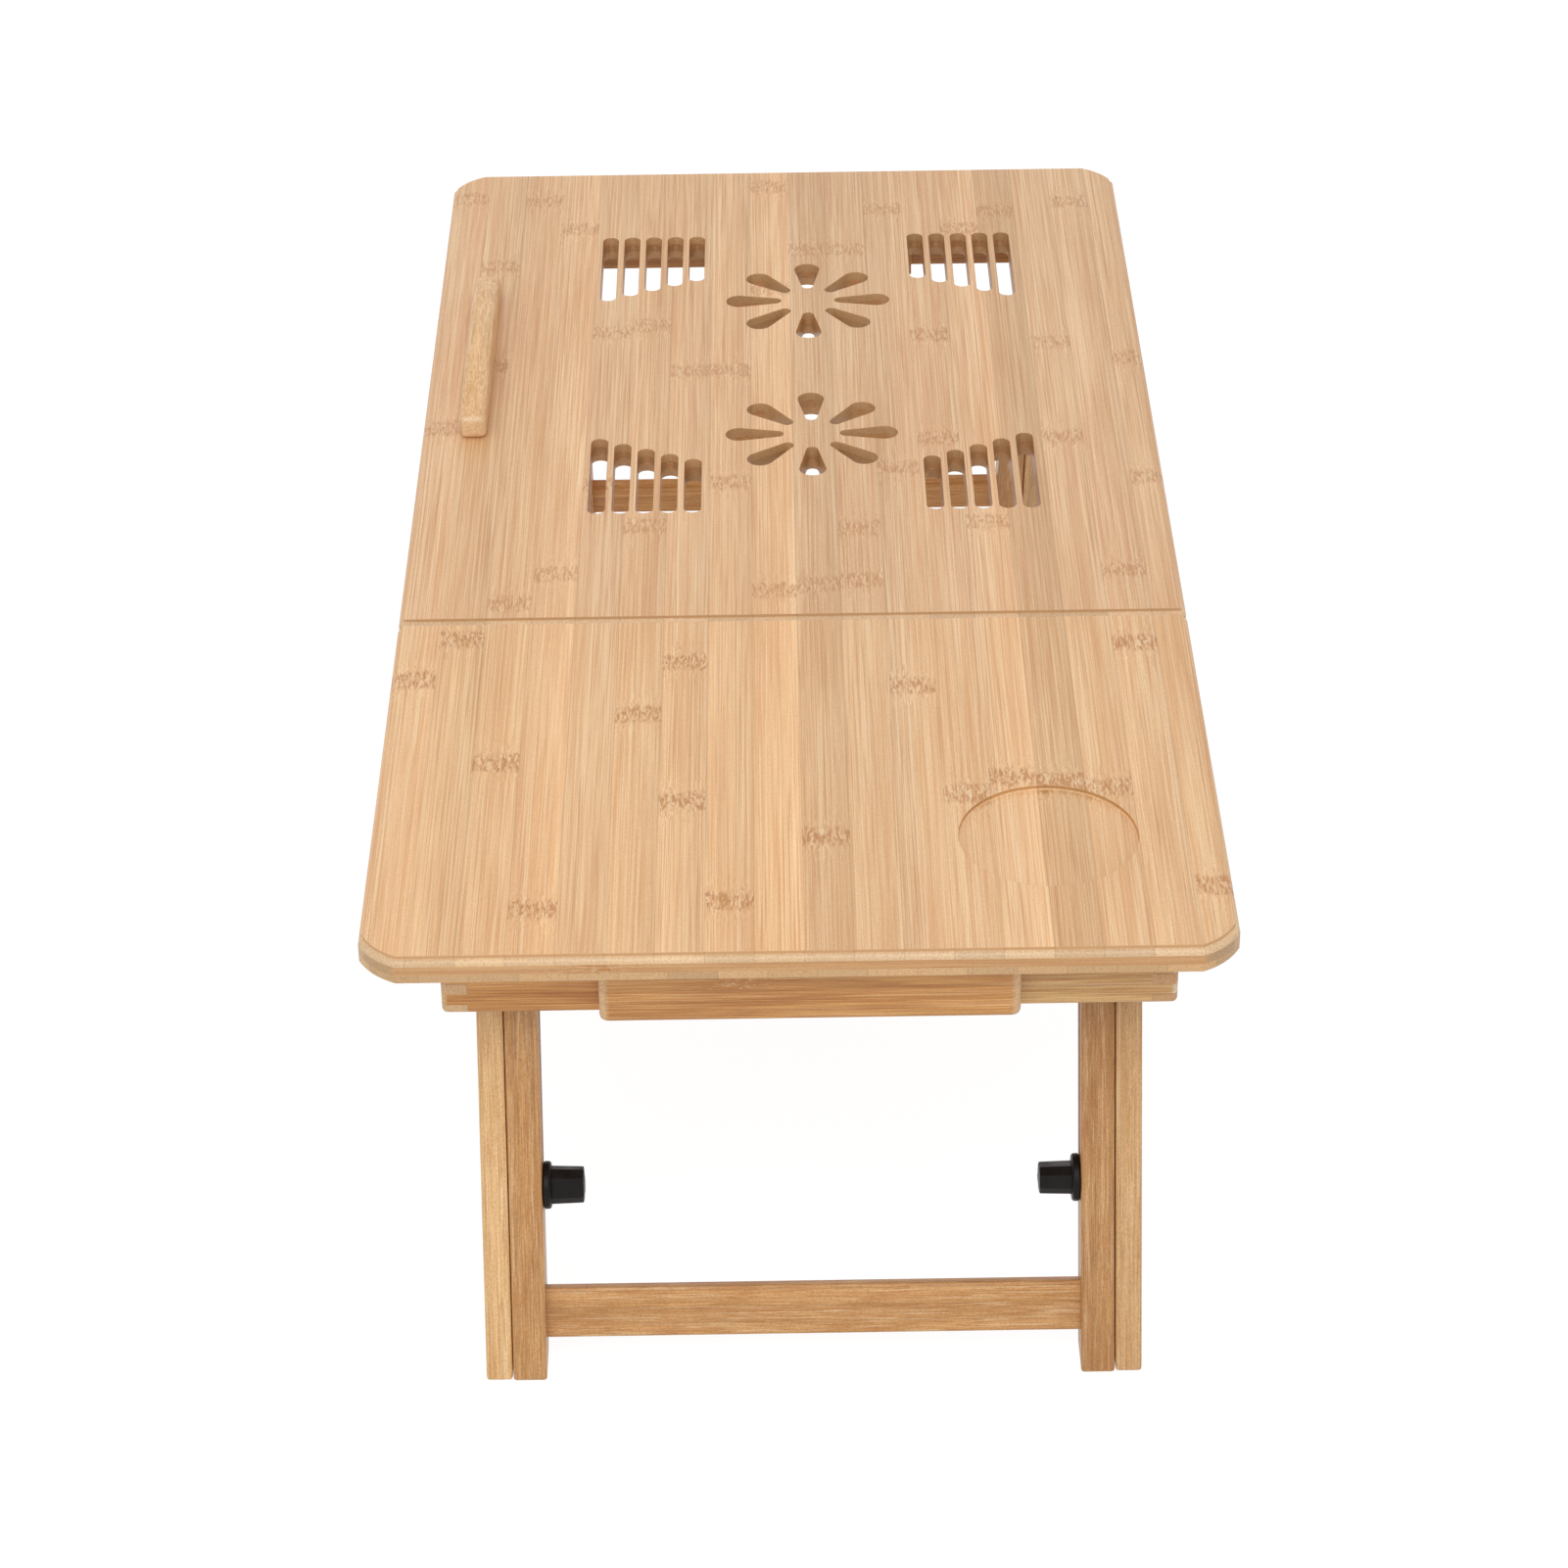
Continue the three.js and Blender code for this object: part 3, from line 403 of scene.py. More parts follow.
def smoothed(piece, angle=38):
    """Smooth shading that keeps flat faces flat and sharp edges sharp."""
    piece.data.shade_smooth()
    piece.data.set_sharp_from_angle(angle=math.radians(angle))
    return modified(piece, "WEIGHTED_NORMAL", keep_sharp=True, weight=50)


def grained(piece, grain, offset, shade):
    """Writes where each point lies in its own plank, in mm: along the grain, across the strips and through
    them. A second attribute says how squarely each face looks along those three directions, and a third one
    tints a piece: its stock's own tone, and on the far legs and the far crossbar painted light. The grain is
    two axes, the one that it runs along and the one across the strips."""
    order = ["XYZ".index(axis) for axis in grain]
    order.append(3 - sum(order))
    mesh = piece.data
    points = np.empty(len(mesh.vertices) * 3, np.float32)
    mesh.vertices.foreach_get("co", points)
    points = points.reshape(-1, 3)[:, order] / MM + np.array(offset, np.float32)
    normals = np.empty(len(mesh.loops) * 3, np.float32)
    mesh.corner_normals.foreach_get("vector", normals)
    normals = np.abs(normals.reshape(-1, 3)[:, order])
    shades = np.tile(np.array(shade, np.float32), len(mesh.vertices))
    for name, domain, values in (
        ("plank", "POINT", points),
        ("facing", "CORNER", normals),
        ("shade", "POINT", shades),
    ):
        mesh.attributes.new(name, "FLOAT_VECTOR", domain).data.foreach_set("vector", values.ravel())


PLAIN = (1, 1, 1)


def finished(piece, body, nodes, finish, grain="", offset=(0, 0, 0), shade=PLAIN, matrix=None):
    """Smooths a piece, lays its grain, puts it in place, gives it a material and a body, and hides the CAD
    nodes it stands for.
    """
    smoothed(piece)
    if grain:
        grained(piece, grain, offset, shade)
    if matrix:
        moved(piece, matrix)
    if not len(piece.data.materials):
        piece.data.materials.append(finishes(bpy.context)[finish])
    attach(piece, body)
    if nodes:
        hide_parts(*nodes)
    return piece


def copied(node, body, finish, ease, grain=""):
    """A finished piece that is a merged copy of a CAD node with its edges eased."""
    shape = bmesh.new()
    shape.from_mesh(frame["nodes"][node].data)
    bmesh.ops.remove_doubles(shape, verts=shape.verts, dist=2e-6)
    bmesh.ops.dissolve_limit(shape, angle_limit=math.radians(0.5), verts=shape.verts, edges=shape.edges)
    piece = eased(sculpted(node + "_piece", shape), ease)
    return finished(piece, body, [node], finish, grain)


def middle_of(node):
    """The middle of a CAD node's box."""
    low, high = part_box(node)
    return (low + high) / 2


# Node trees


def add(tree, kind, *values, stops=(), interpolation="LINEAR", **settings):
    """Adds a node with its settings and links. A kind may be followed by its operation.

    Values fill the inputs in order, and a dictionary fills them by name or number. Each value is a constant,
    a node, a socket or a list of them. Stops are the (position, colour) stops of a colour ramp.
    """
    kind, _, operation = kind.partition(" ")
    prefix = "" if kind.startswith(("Geometry", "Function", "NodeGroup")) else "ShaderNode"
    node = tree.nodes.new(prefix + kind)
    if operation:
        node.operation = operation
    for key, value in settings.items():
        setattr(node, key, value)
    if stops:
        node.color_ramp.interpolation = interpolation
        elements = node.color_ramp.elements
        while len(elements) < len(stops):
            elements.new(0.5)
        for element, (position, value) in zip(elements, stops):
            element.position = position
            element.color = (*value, 1)
    inputs = {}
    for place, value in enumerate(values):
        inputs.update(value if isinstance(value, dict) else {place: value})
    for key, value in inputs.items():
        for source in value if isinstance(value, list) else [value]:
            if isinstance(source, bpy.types.Node):
                source = next(s for s in source.outputs if s.enabled)
            if isinstance(source, bpy.types.NodeSocket):
                tree.links.new(source, node.inputs[key])
            else:
                node.inputs[key].default_value = source
    return node


def new_material(name):
    """An empty material, and what adds nodes to it."""
    material = bpy.data.materials.new(name)
    material.use_nodes = True
    material.node_tree.nodes.clear()
    return material, partial(add, material.node_tree)


def surfaced(put, colours, roughness, relief, strength, depth, **look):
    """Ends a material's tree: its fine relief, its surface with the rest of the look, and the output."""
    bump = put("Bump", {"Height": relief, "Strength": strength, "Distance": depth})
    inputs = {"Base Color": colours, "Roughness": roughness, "Normal": bump}
    inputs.update({key.replace("_", " "): value for key, value in look.items()})
    put("OutputMaterial", put("BsdfPrincipled", inputs))


# Bamboo, with all its lengths in mm

# Thickness of each of a board's three plies
PLY = 4
# The step above a board's bead starts this far below the face, a hair less than its height
STEP_HEIGHT = 1.45
# How much the strips differ in tone
TONES = 0.06
# Between the nodes of the culm on rails and legs
NODE_SPACING = 310
TOP_LENGTH = 720
# How far the grain of each ply lies from the next one's, and how many strips further its tones are taken
PLY_SHIFT = (61.0, 7.3, 0.0)
PLY_STRIPS = 57

# The nodes of the culm on each strip of the table top, from the front strip to the back one:
# places along the table from its middle, up to three on a strip.
STRIP = 19.7
STRIP_PHASE = 2
FIRST_STRIP = -9
STRIP_NODES = [
    (152, -77, -330),
    (118, -140, -250),
    (219, 88, -326),
    (327, 62, -292),
    (-20, -174, -20),
    (182, -181, 20),
    (250, -132, 140),
    (323, -132, -20),
    (80, -220, -340),
    (278, 75, -264),
    (72, -264, 25),
    (162, -32, -311),
    (247, -167, -60),
    (235, -287, 20),
    (239, -307, -307),
    (244, -157, -60),
    (129, 65, -317),
    (317, -140, -20),
]
STRIPS = len(STRIP_NODES)
# Strips that are plainly darker or paler than their neighbours, as shares of the middle tone.
STRIP_TONES = {-7: 0.97, -4: 1.02, -3: 1.05, -2: 1.05, -1: 1.03, 0: 0.95, 1: 0.96, 2: 0.92, 5: 0.92, 7: 1.04}


def bamboo(
    name,
    tint,
    finish,
    strip=STRIP,
    stretch=1.0,
    fineness=1.0,
    plies=None,
    # Tint of the cut walls inside a board: partly the cutter's burn, partly painted shade
    walls=PLAIN,
    end=None,
    end_from=0.2,
    joint=0.12,
    lines=0.45,
    pale_lines=0.36,
    speckle=0.03,
    torn=1.0,
    # Tint of the step above the bead: painted shade
    step=PLAIN,
    step_from=0.0,
    seed=0.0,
):
    """Laminated bamboo under a satin lacquer: planed strips glued side by side, each with its own tone,
    long fine fibres, reddish fibre lines, speckled end grain, and now and then the band of wavy streaks
    where the culm had a node. With tints for the lower plies it is a board of three plies, of which the
    middle one runs across the others."""
    material, put = new_material(name)
    pale, deep = (tuple(getattr(finish, f"{tint}_{depth}")) for depth in ("pale", "deep"))
    end = end or pale
    plank = put("Attribute", attribute_name="plank").outputs["Vector"]
    facing = put("Attribute", attribute_name="facing").outputs["Vector"]
    layer = 0.0
    if plies:
        place = put("SeparateXYZ", plank).outputs
        look = put("SeparateXYZ", facing).outputs
        lengthwise = place["X"]
        height = put("Math DIVIDE", place["Z"], PLY)
        layer = put("Math MINIMUM", put("Math FLOOR", height), 2)
        crossed = put("Math COMPARE", layer, 1, 0.1)
        is_top = put("Math COMPARE", layer, 2, 0.1)
        plank_across = put("CombineXYZ", place["Y"], place["X"], place["Z"])
        facing_across = put("CombineXYZ", look["Y"], look["X"], look["Z"])
        plank = put("Mix", {0: crossed, 4: plank, 5: plank_across}, data_type="VECTOR")
        facing = put("Mix", {0: crossed, 4: facing, 5: facing_across}, data_type="VECTOR")
        below = put("Math SUBTRACT", 2, layer)
        shift = put("VectorMath SCALE", PLY_SHIFT, {"Scale": below})
        plank = put("VectorMath ADD", plank, shift)
    place = put("SeparateXYZ", plank).outputs
    along, across = place["X"], place["Y"]
    counted = put("Math MULTIPLY_ADD", across, 1 / strip, -STRIP_PHASE / strip + seed)
    index = put("Math FLOOR", counted)
    share = put("Math FRACT", counted)
    key = put("Math MULTIPLY_ADD", layer, PLY_STRIPS, index)
    chance = put("TexWhiteNoise", {"W": key}, noise_dimensions="1D").outputs
    spot = put("VectorMath MULTIPLY_ADD", chance["Color"], (900.0, 60.0, 60.0), plank)
    looks = put("SeparateXYZ", facing).outputs
    cut = put("MapRange", looks["X"], end_from, end_from + 0.3)

    # Nodes of the culm: how far away the nearest one on this strip is
    if plies:
        row = put("Math MULTIPLY_ADD", index, 1 / STRIPS, (0.5 - FIRST_STRIP) / STRIPS)
        stops = []
        for i, marks in enumerate(STRIP_NODES):
            stops.append((i / STRIPS, tuple((x + TOP_LENGTH / 2) / TOP_LENGTH for x in marks)))
        marks = put("ValToRGB", row, stops=stops, interpolation="CONSTANT")
        here = put("Math MULTIPLY_ADD", along, 1 / TOP_LENGTH, 0.5)
        away = put("VectorMath ABSOLUTE", put("VectorMath SUBTRACT", marks, here))
        away = put("SeparateXYZ", away).outputs
        nearest = put("Math MINIMUM", put("Math MINIMUM", away["X"], away["Y"]), away["Z"])
        gap = put("Math MULTIPLY", nearest, TOP_LENGTH)
    else:
        turn = put("Math MULTIPLY_ADD", along, 1 / NODE_SPACING, chance["Value"])
        turn = put("Math SUBTRACT", put("Math FRACT", turn), 0.5)
        gap = put("Math MULTIPLY", put("Math ABSOLUTE", turn), NODE_SPACING)
    around = put("MapRange", gap, 24, 3, interpolation_type="SMOOTHSTEP")

    # The bands' ragged edge, and how the fibres waver near a node
    noises = []
    for scale, detail in (((0.12, 0.34, 0.34), 2.0), ((0.16, 0.45, 0.45), 1.0)):
        texture = {"Vector": put("VectorMath MULTIPLY", spot, scale), "Scale": 1.0, "Detail": detail}
        noises.append(put("TexNoise", texture))
    edge, wave = noises
    ragged = put("Math MULTIPLY_ADD", edge, 8, gap)
    mark = put("MapRange", ragged, 12.5, 8.5, interpolation_type="SMOOTHSTEP")
    mark = put("Math MULTIPLY", mark, put("Math SUBTRACT", 1, cut))
    wave = put("Math MULTIPLY", put("Math SUBTRACT", wave, 0.5), around)
    sway = put("VectorMath SCALE", (0.0, 3.0 * torn, 1.5 * torn), {"Scale": wave})
    spot = put("VectorMath ADD", spot, sway)

    # Fibres, fine lines, bands and clouds in the wood run straight, then come specks of cut fibres and torn
    # fibres. Each has its turns per mm along and across the grain. Across it, at a fineness of 1, fibres are
    # 0.7 mm apart, lines 1.3 mm, bands 4 mm and clouds 20 mm. Real fibres are finer, too fine to show.
    noises = []
    for run, pitch, detail, roughness, distortion in (
        (0.02 * stretch, 1.35 * fineness, 3.0, 0.8, 0.0),
        (0.008 * stretch, 0.8 * fineness, 2.0, 0.6, 0.0),
        (0.004 * stretch, 0.26 * fineness, 1.0, 0.5, 0.0),
        (0.012 * stretch, 0.05 * fineness, 2.0, 0.5, 0.0),
        (0.9, 1.5, 2.0, 0.7, 0.0),
        (0.2, 1.05, 1.0, 0.5, 0.7),
    ):
        texture = {"Vector": put("VectorMath MULTIPLY", spot, (run, pitch, pitch)), "Scale": 1.0}
        texture.update({"Detail": detail, "Roughness": roughness, "Distortion": distortion})
        noises.append(put("TexNoise", texture))
    fibre, fine, band, cloud, speck, knot = noises
    body = put("Math MULTIPLY", fibre, 0.62)
    body = put("Math MULTIPLY_ADD", band, 0.19, body)
    body = put("Math MULTIPLY_ADD", cloud, 0.19, body)
    middle = tuple((p + d) / 2 for p, d in zip(pale, deep))
    wood = put("ValToRGB", body, stops=[(0.41, deep), (0.5, middle), (0.59, pale)])
    fading = put("MapRange", band, 0.35, 0.6, 0.35, 1)
    for level, strength, shade in ((0.5, lines, finish.pore), (0.4, pale_lines, finish.node_pale)):
        off = put("Math ABSOLUTE", put("Math SUBTRACT", fine, level))
        line = put("Math MULTIPLY", put("MapRange", off, 0.05, 0.01, 0, strength), fading)
        wood = put("Mix", {0: line, 6: wood, 7: (*shade, 1)}, data_type="RGBA")

    # Each strip has its own tone, a little redder or yellower than the next
    tone = put("MapRange", chance["Value"], 0, 1, 1 - TONES, 1 + TONES)
    if plies:
        stops = []
        for i in range(STRIPS):
            stops.append((i / STRIPS, (STRIP_TONES.get(FIRST_STRIP + i, 1.0) / 2,) * 3))
        chosen = put("Math MULTIPLY", put("ValToRGB", row, stops=stops, interpolation="CONSTANT"), 2)
        chosen = put("Math MULTIPLY", chosen, tone)
        tone = put("Mix", {0: is_top, 2: tone, 3: chosen}, data_type="FLOAT")
    hue = put("SeparateXYZ", chance["Color"]).outputs
    lean = put("Math MULTIPLY", put("Math SUBTRACT", hue["X"], 0.5), TONES * 4)
    tone = put("Math MULTIPLY_ADD", lean, put("Math SUBTRACT", share, 0.5), tone)
    dots = put("MapRange", speck, 0.35, 0.65, 1 - speckle * 2, 1 + speckle * 2)
    tone = put("Math MULTIPLY", tone, dots)
    wood = put("VectorMath SCALE", wood, {"Scale": tone})
    casts = [(0.0, (1.0, 0.985, 0.95)), (0.5, PLAIN), (1.0, (0.99, 1.0, 1.03))]
    cast = put("ValToRGB", hue["Y"], stops=casts)
    wood = put("VectorMath MULTIPLY", wood, cast)

    # End grain is paler, speckled by the cut fibres
    stops = [(0.36, tuple(c * 0.78 for c in end)), (0.5, end), (0.64, tuple(c * 1.1 for c in end))]
    speckled = put("ValToRGB", speck, stops=stops)
    glued = put("MapRange", hue["Z"], 0, 1, 1 - TONES * 3, 1 + TONES)
    speckled = put("VectorMath SCALE", speckled, {"Scale": glued})
    speckled = put("VectorMath MULTIPLY", speckled, cast)
    mostly = put("Math MULTIPLY", cut, 0.8)
    if plies:
        which = put("Math MULTIPLY", layer, 0.4)
        stops = [(0.0, plies[0]), (0.3, plies[1]), (0.7, PLAIN)]
        golden = put("ValToRGB", which, stops=stops, interpolation="CONSTANT")
        wood = put("VectorMath MULTIPLY", wood, golden)
        speckled = put("VectorMath MULTIPLY", speckled, golden)
        # The long edges of the top and bottom plies get a painted warm glow of the lacquer
        sided = put("MapRange", looks["Y"], 0.3, 0.9, 0, 0.4)
        sided = put("Math MULTIPLY", sided, put("Math SUBTRACT", 1, crossed))
        wood = put("Mix", {0: sided, 6: wood, 7: (*finish.side_glow, 1)}, data_type="RGBA")

        # The bead shows end grain, and the small step above it gets a flat darker colour instead: painted
        # shade on the step
        upright = put("MapRange", looks["Z"], 0.2, 0.7, 1, 0)
        high = put("Math GREATER_THAN", height, 3 - STEP_HEIGHT / PLY)
        at_edge = put("Math GREATER_THAN", lengthwise, step_from)
        on_bead = put("Math SUBTRACT", 1, high)
        outside = put("Math LESS_THAN", looks["Y"], 0.9)
        for part in (at_edge, outside, is_top, 0.8):
            on_bead = put("Math MULTIPLY", on_bead, part)
        high = put("Math MULTIPLY", high, at_edge)
        on_step = put("Math MULTIPLY", upright, high)
        for part in (put("Math SUBTRACT", 1, high), put("Math MAXIMUM", upright, at_edge)):
            mostly = put("Math MULTIPLY", mostly, part)
        mostly = put("Math MAXIMUM", mostly, on_bead)
        burnished = tuple(c * s for c, s in zip(end, step))
        wood = put("Mix", {0: on_step, 6: wood, 7: (*burnished, 1)}, data_type="RGBA")
    wood = put("Mix", {0: mostly, 6: wood, 7: speckled}, data_type="RGBA")
    if plies:
        # Walls that the cutter left inside the board are darker: partly the cutter's burn, partly painted
        # shade inside the recess and the vents
        inside = put("Math MULTIPLY", put("Math SUBTRACT", 1, at_edge), upright)
        burnt = put("VectorMath MULTIPLY", wood, walls)
        wood = put("Mix", {0: inside, 6: wood, 7: burnt}, data_type="RGBA")

    # Torn fibres of the nodes: short dark strokes and pale ones between them
    band_tint = put("Math MULTIPLY", mark, 0.16 * torn)
    wood = put("Mix", {0: band_tint, 6: wood, 7: (*finish.node_dark, 1)}, data_type="RGBA")
    for first, last, strength, shade in (
        (0.49, 0.58, 0.74, finish.node_dark),
        (0.45, 0.35, 0.42, finish.node_pale),
    ):
        streak = put("Math MULTIPLY", put("MapRange", knot, first, last, 0, strength * torn), mark)
        wood = put("Mix", {0: streak, 6: wood, 7: (*shade, 1)}, data_type="RGBA")

    # Glue joints between strips are up to 0.8 mm wide
    beside = put("Math MINIMUM", share, put("Math SUBTRACT", 1, share))
    seam = put("MapRange", beside, 0.4 / strip, 0.1 / strip, 0, joint)
    wood = put("VectorMath SCALE", wood, {"Scale": put("Math SUBTRACT", 1, seam)})
    # Each piece's tint: its stock's own tone, and on the far legs and the far crossbar painted light
    shade = put("Attribute", attribute_name="shade").outputs["Vector"]
    wood = put("VectorMath MULTIPLY", wood, shade)

    rough = put("MapRange", fibre, 0.3, 0.7, 0.5, 0.4)
    relief = put("Math SUBTRACT", put("Math MULTIPLY_ADD", knot, mark, fibre), seam)
    surfaced(put, wood, rough, relief, 0.3, 0.0001, IOR=1.5, Coat_Weight=0.15, Coat_Roughness=0.22)
    return material


def plated_steel(name, finish):
    """Zinc-plated steel: pressed or drawn, bright but not polished, faintly mottled by the plating."""
    material, put = new_material(name)
    spot = put("TexCoord").outputs["Object"]
    # Spangles of the plate are about 1.5 mm across
    mottle = put("TexNoise", {"Vector": spot, "Scale": 650.0, "Detail": 3.0})
    pale = tuple(finish.steel)
    tint = put("ValToRGB", mottle, stops=[(0.35, tuple(c * 0.8 for c in pale)), (0.65, pale)])
    rough = put("MapRange", mottle, 0.3, 0.7, 0.24, 0.4)
    surfaced(put, tint, rough, mottle, 0.15, 0.00005, Metallic=1.0)
    return material


def moulded_plastic(name, finish):
    """Black ABS moulded in a spark-eroded tool: satin, with a fine grain that softens the light."""
    material, put = new_material(name)
    spot = put("TexCoord").outputs["Object"]
    # The tool's grain is about 0.4 mm
    grain = put("TexNoise", {"Vector": spot, "Scale": 2400.0, "Detail": 2.0})
    handling = put("TexNoise", {"Vector": spot, "Scale": 160.0, "Detail": 3.0})
    dark = tuple(finish.plastic)
    tint = put("ValToRGB", handling, stops=[(0.35, dark), (0.7, tuple(c * 1.5 for c in dark))])
    rough = put("MapRange", handling, 0.3, 0.7, 0.34, 0.48)
    surfaced(put, tint, rough, grain, 0.25, 0.00006, IOR=1.5, Specular_IOR_Level=0.16)
    return material


def finishes(context):
    """The table's materials, made once."""
    made = bpy.data.materials
    if "near_board_bamboo" in made:
        return made
    finish = context.scene.laptop_table.finish
    end = tuple(finish.end_grain)
    board = {"end": end, "stretch": 0.5, "joint": 0.15}
    # The boards' step tints are painted shade on the step above the bead. Their wall tints darken the cut
    # walls, partly as the cutter's burn and partly as painted shade
    near_board = {
        "plies": ((0.85, 0.76, 0.64), (0.72, 0.64, 0.52)),
        "step": (0.8, 0.66, 0.52),
        "step_from": 340,
        "walls": (0.8, 0.64, 0.44),
    }
    far_board = {
        "plies": ((0.96, 0.93, 0.88), (0.93, 0.89, 0.82)),
        "step": (0.8, 0.72, 0.64),
        "step_from": 98,
        "walls": (0.79, 0.69, 0.57),
        "torn": 0.7,
    }
    rail = {
        "strip": 28.5,
        "fineness": 1.5,
        "lines": 0.8,
        "pale_lines": 0.2,
        "end": tuple(finish.rail_end),
        "end_from": 0.05,
        "seed": 0.4,
    }
    bamboo("near_board_bamboo", "near", finish, **near_board, **board)
    bamboo("far_board_bamboo", "far", finish, **far_board, **board)
    bamboo(
        "stop_bar_bamboo", "stop", finish, strip=6.3, stretch=3, joint=0.03, speckle=0.05, torn=0.3, end=end
    )
    bamboo("rail_bamboo", "frame", finish, **rail)
    bamboo("upper_leg_bamboo", "outer", finish, strip=5.6, stretch=1.6, speckle=0.07, torn=0.25)
    bamboo("lower_leg_bamboo", "inner", finish, strip=7.1, stretch=2.5, lines=0.6, speckle=0.07, torn=0.3)
    plated_steel("zinc_plated_steel", finish)
    moulded_plastic("black_moulded_plastic", finish)
    return made


def new_tree(name, lengths, **others):
    """A geometry tree, what adds nodes to it, and its named inputs: lengths, and others with their kind."""
    tree = bpy.data.node_groups.new(name, "GeometryNodeTree")
    sockets = [("Geometry", "Geometry"), ("Material", "Material")]
    sockets += [(label, kind) for label, kind in others.items()] + [(label, "Float") for label in lengths]
    for label, kind in sockets:
        tree.interface.new_socket(name=label, in_out="INPUT", socket_type="NodeSocket" + kind)
    tree.interface.new_socket(name="Geometry", in_out="OUTPUT", socket_type="NodeSocketGeometry")
    put = partial(add, tree)
    return tree, put, put("NodeGroupInput").outputs


def grown(piece, tree, values):
    """Runs a geometry tree on a piece with its named inputs set, and keeps the result as a plain mesh."""
    modifier = piece.modifiers.new(tree.name, "NODES")
    modifier.node_group = tree
    for item in tree.interface.items_tree:
        if item.in_out == "INPUT" and item.name in values:
            modifier[item.identifier] = values[item.name]
    return realise(piece)


VENT_LENGTHS = (
    "Flower spacing",
    "Petal start",
    "Petal end",
    "Petal width",
    "Petal tip",
    "Slot width",
    "Slot pitch",
    "First slot",
    "Slot reach",
    "Shortest slot",
    "Slot growth",
)


def vents_tree():
    """Cuts two flowers of petals and four groups of slots through a board."""
    lengths = (*VENT_LENGTHS, "Cut depth")
    tree, put, given = new_tree("Air vents", lengths, Middle="Vector", Petals="Int", Slots="Int")

    def opening(*ends):
        """The hull of two upright posts, each given as its number of sides, its radius and its place."""
        posts = []
        for sides, radius, *place in ends:
            size = {"Vertices": sides, "Radius": radius, "Depth": given["Cut depth"]}
            post = put("GeometryNodeMeshCylinder", size)
            spot = put("CombineXYZ", *place)
            posts.append(put("GeometryNodeTransform", {"Geometry": post, "Translation": spot}))
        return put("GeometryNodeConvexHull", put("GeometryNodeJoinGeometry", posts))

    # Petals
    bulb_radius = put("Math MULTIPLY", given["Petal width"], 0.5)
    bulb_place = put("Math SUBTRACT", given["Petal end"], bulb_radius)
    tip_place = put("Math ADD", given["Petal start"], given["Petal tip"])
    petal = opening((72, bulb_radius, bulb_place), (48, given["Petal tip"], tip_place))
    turn_step = put("Math DIVIDE", 2 * math.pi, given["Petals"])
    turn = put("Math MULTIPLY", put("GeometryNodeInputIndex"), turn_step)
    turned_by = put("FunctionNodeEulerToRotation", put("CombineXYZ", {"Z": turn}))
    ring = put("GeometryNodeMeshLine", {"Count": given["Petals"], "Offset": (0.0, 0.0, 0.0)})
    flower = put("GeometryNodeInstanceOnPoints", {"Points": ring, "Instance": petal, "Rotation": turned_by})
    half = put("Math MULTIPLY", given["Flower spacing"], -0.5)
    line = {"Start Location": put("CombineXYZ", half), "Offset": put("CombineXYZ", given["Flower spacing"])}
    pair = put("GeometryNodeMeshLine", {"Count": 2, **line})
    flowers = put("GeometryNodeInstanceOnPoints", {"Points": pair, "Instance": flower})

    # Slots, each longer than the one before
    start = put("GeometryNodeRepeatInput")
    end = put("GeometryNodeRepeatOutput")
    start.pair_with_output(end)
    tree.links.new(given["Slots"], start.inputs["Iterations"])
    count = start.outputs["Iteration"]
    radius = put("Math MULTIPLY", given["Slot width"], 0.5)
    reach = put("Math MULTIPLY_ADD", count, given["Slot growth"], given["Shortest slot"])
    across = put("Math MULTIPLY_ADD", count, given["Slot pitch"], given["First slot"])
    outer = put("Math SUBTRACT", radius, given["Slot reach"])
    inner = put("Math SUBTRACT", put("Math SUBTRACT", reach, given["Slot reach"]), radius)
    slot = opening((64, radius, outer, across), (64, radius, inner, across))
    so_far = put("GeometryNodeJoinGeometry", [start.outputs["Geometry"], slot])
    tree.links.new(so_far.outputs[0], end.inputs["Geometry"])
    group = end.outputs["Geometry"]
    mirrored = put("GeometryNodeTransform", {"Geometry": group, "Scale": (1.0, -1.0, 1.0)})
    mirrored = put("GeometryNodeFlipFaces", mirrored)
    both = put("GeometryNodeJoinGeometry", [group, mirrored])
    opposite = put("GeometryNodeTransform", {"Geometry": both, "Scale": (-1.0, -1.0, 1.0)})

    cutters = put("GeometryNodeJoinGeometry", [flowers, both, opposite])
    cutters = put("GeometryNodeTransform", {"Geometry": cutters, "Translation": given["Middle"]})
    cutters = put("GeometryNodeRealizeInstances", cutters)
    solids = {"Mesh 1": given["Geometry"], "Mesh 2": cutters}
    board = put("GeometryNodeMeshBoolean DIFFERENCE", solids, solver="EXACT")
    board = put("GeometryNodeRealizeInstances", board)
    board = put("GeometryNodeSetMaterial", {"Geometry": board, "Material": given["Material"]})
    put("NodeGroupOutput", board)
    return tree


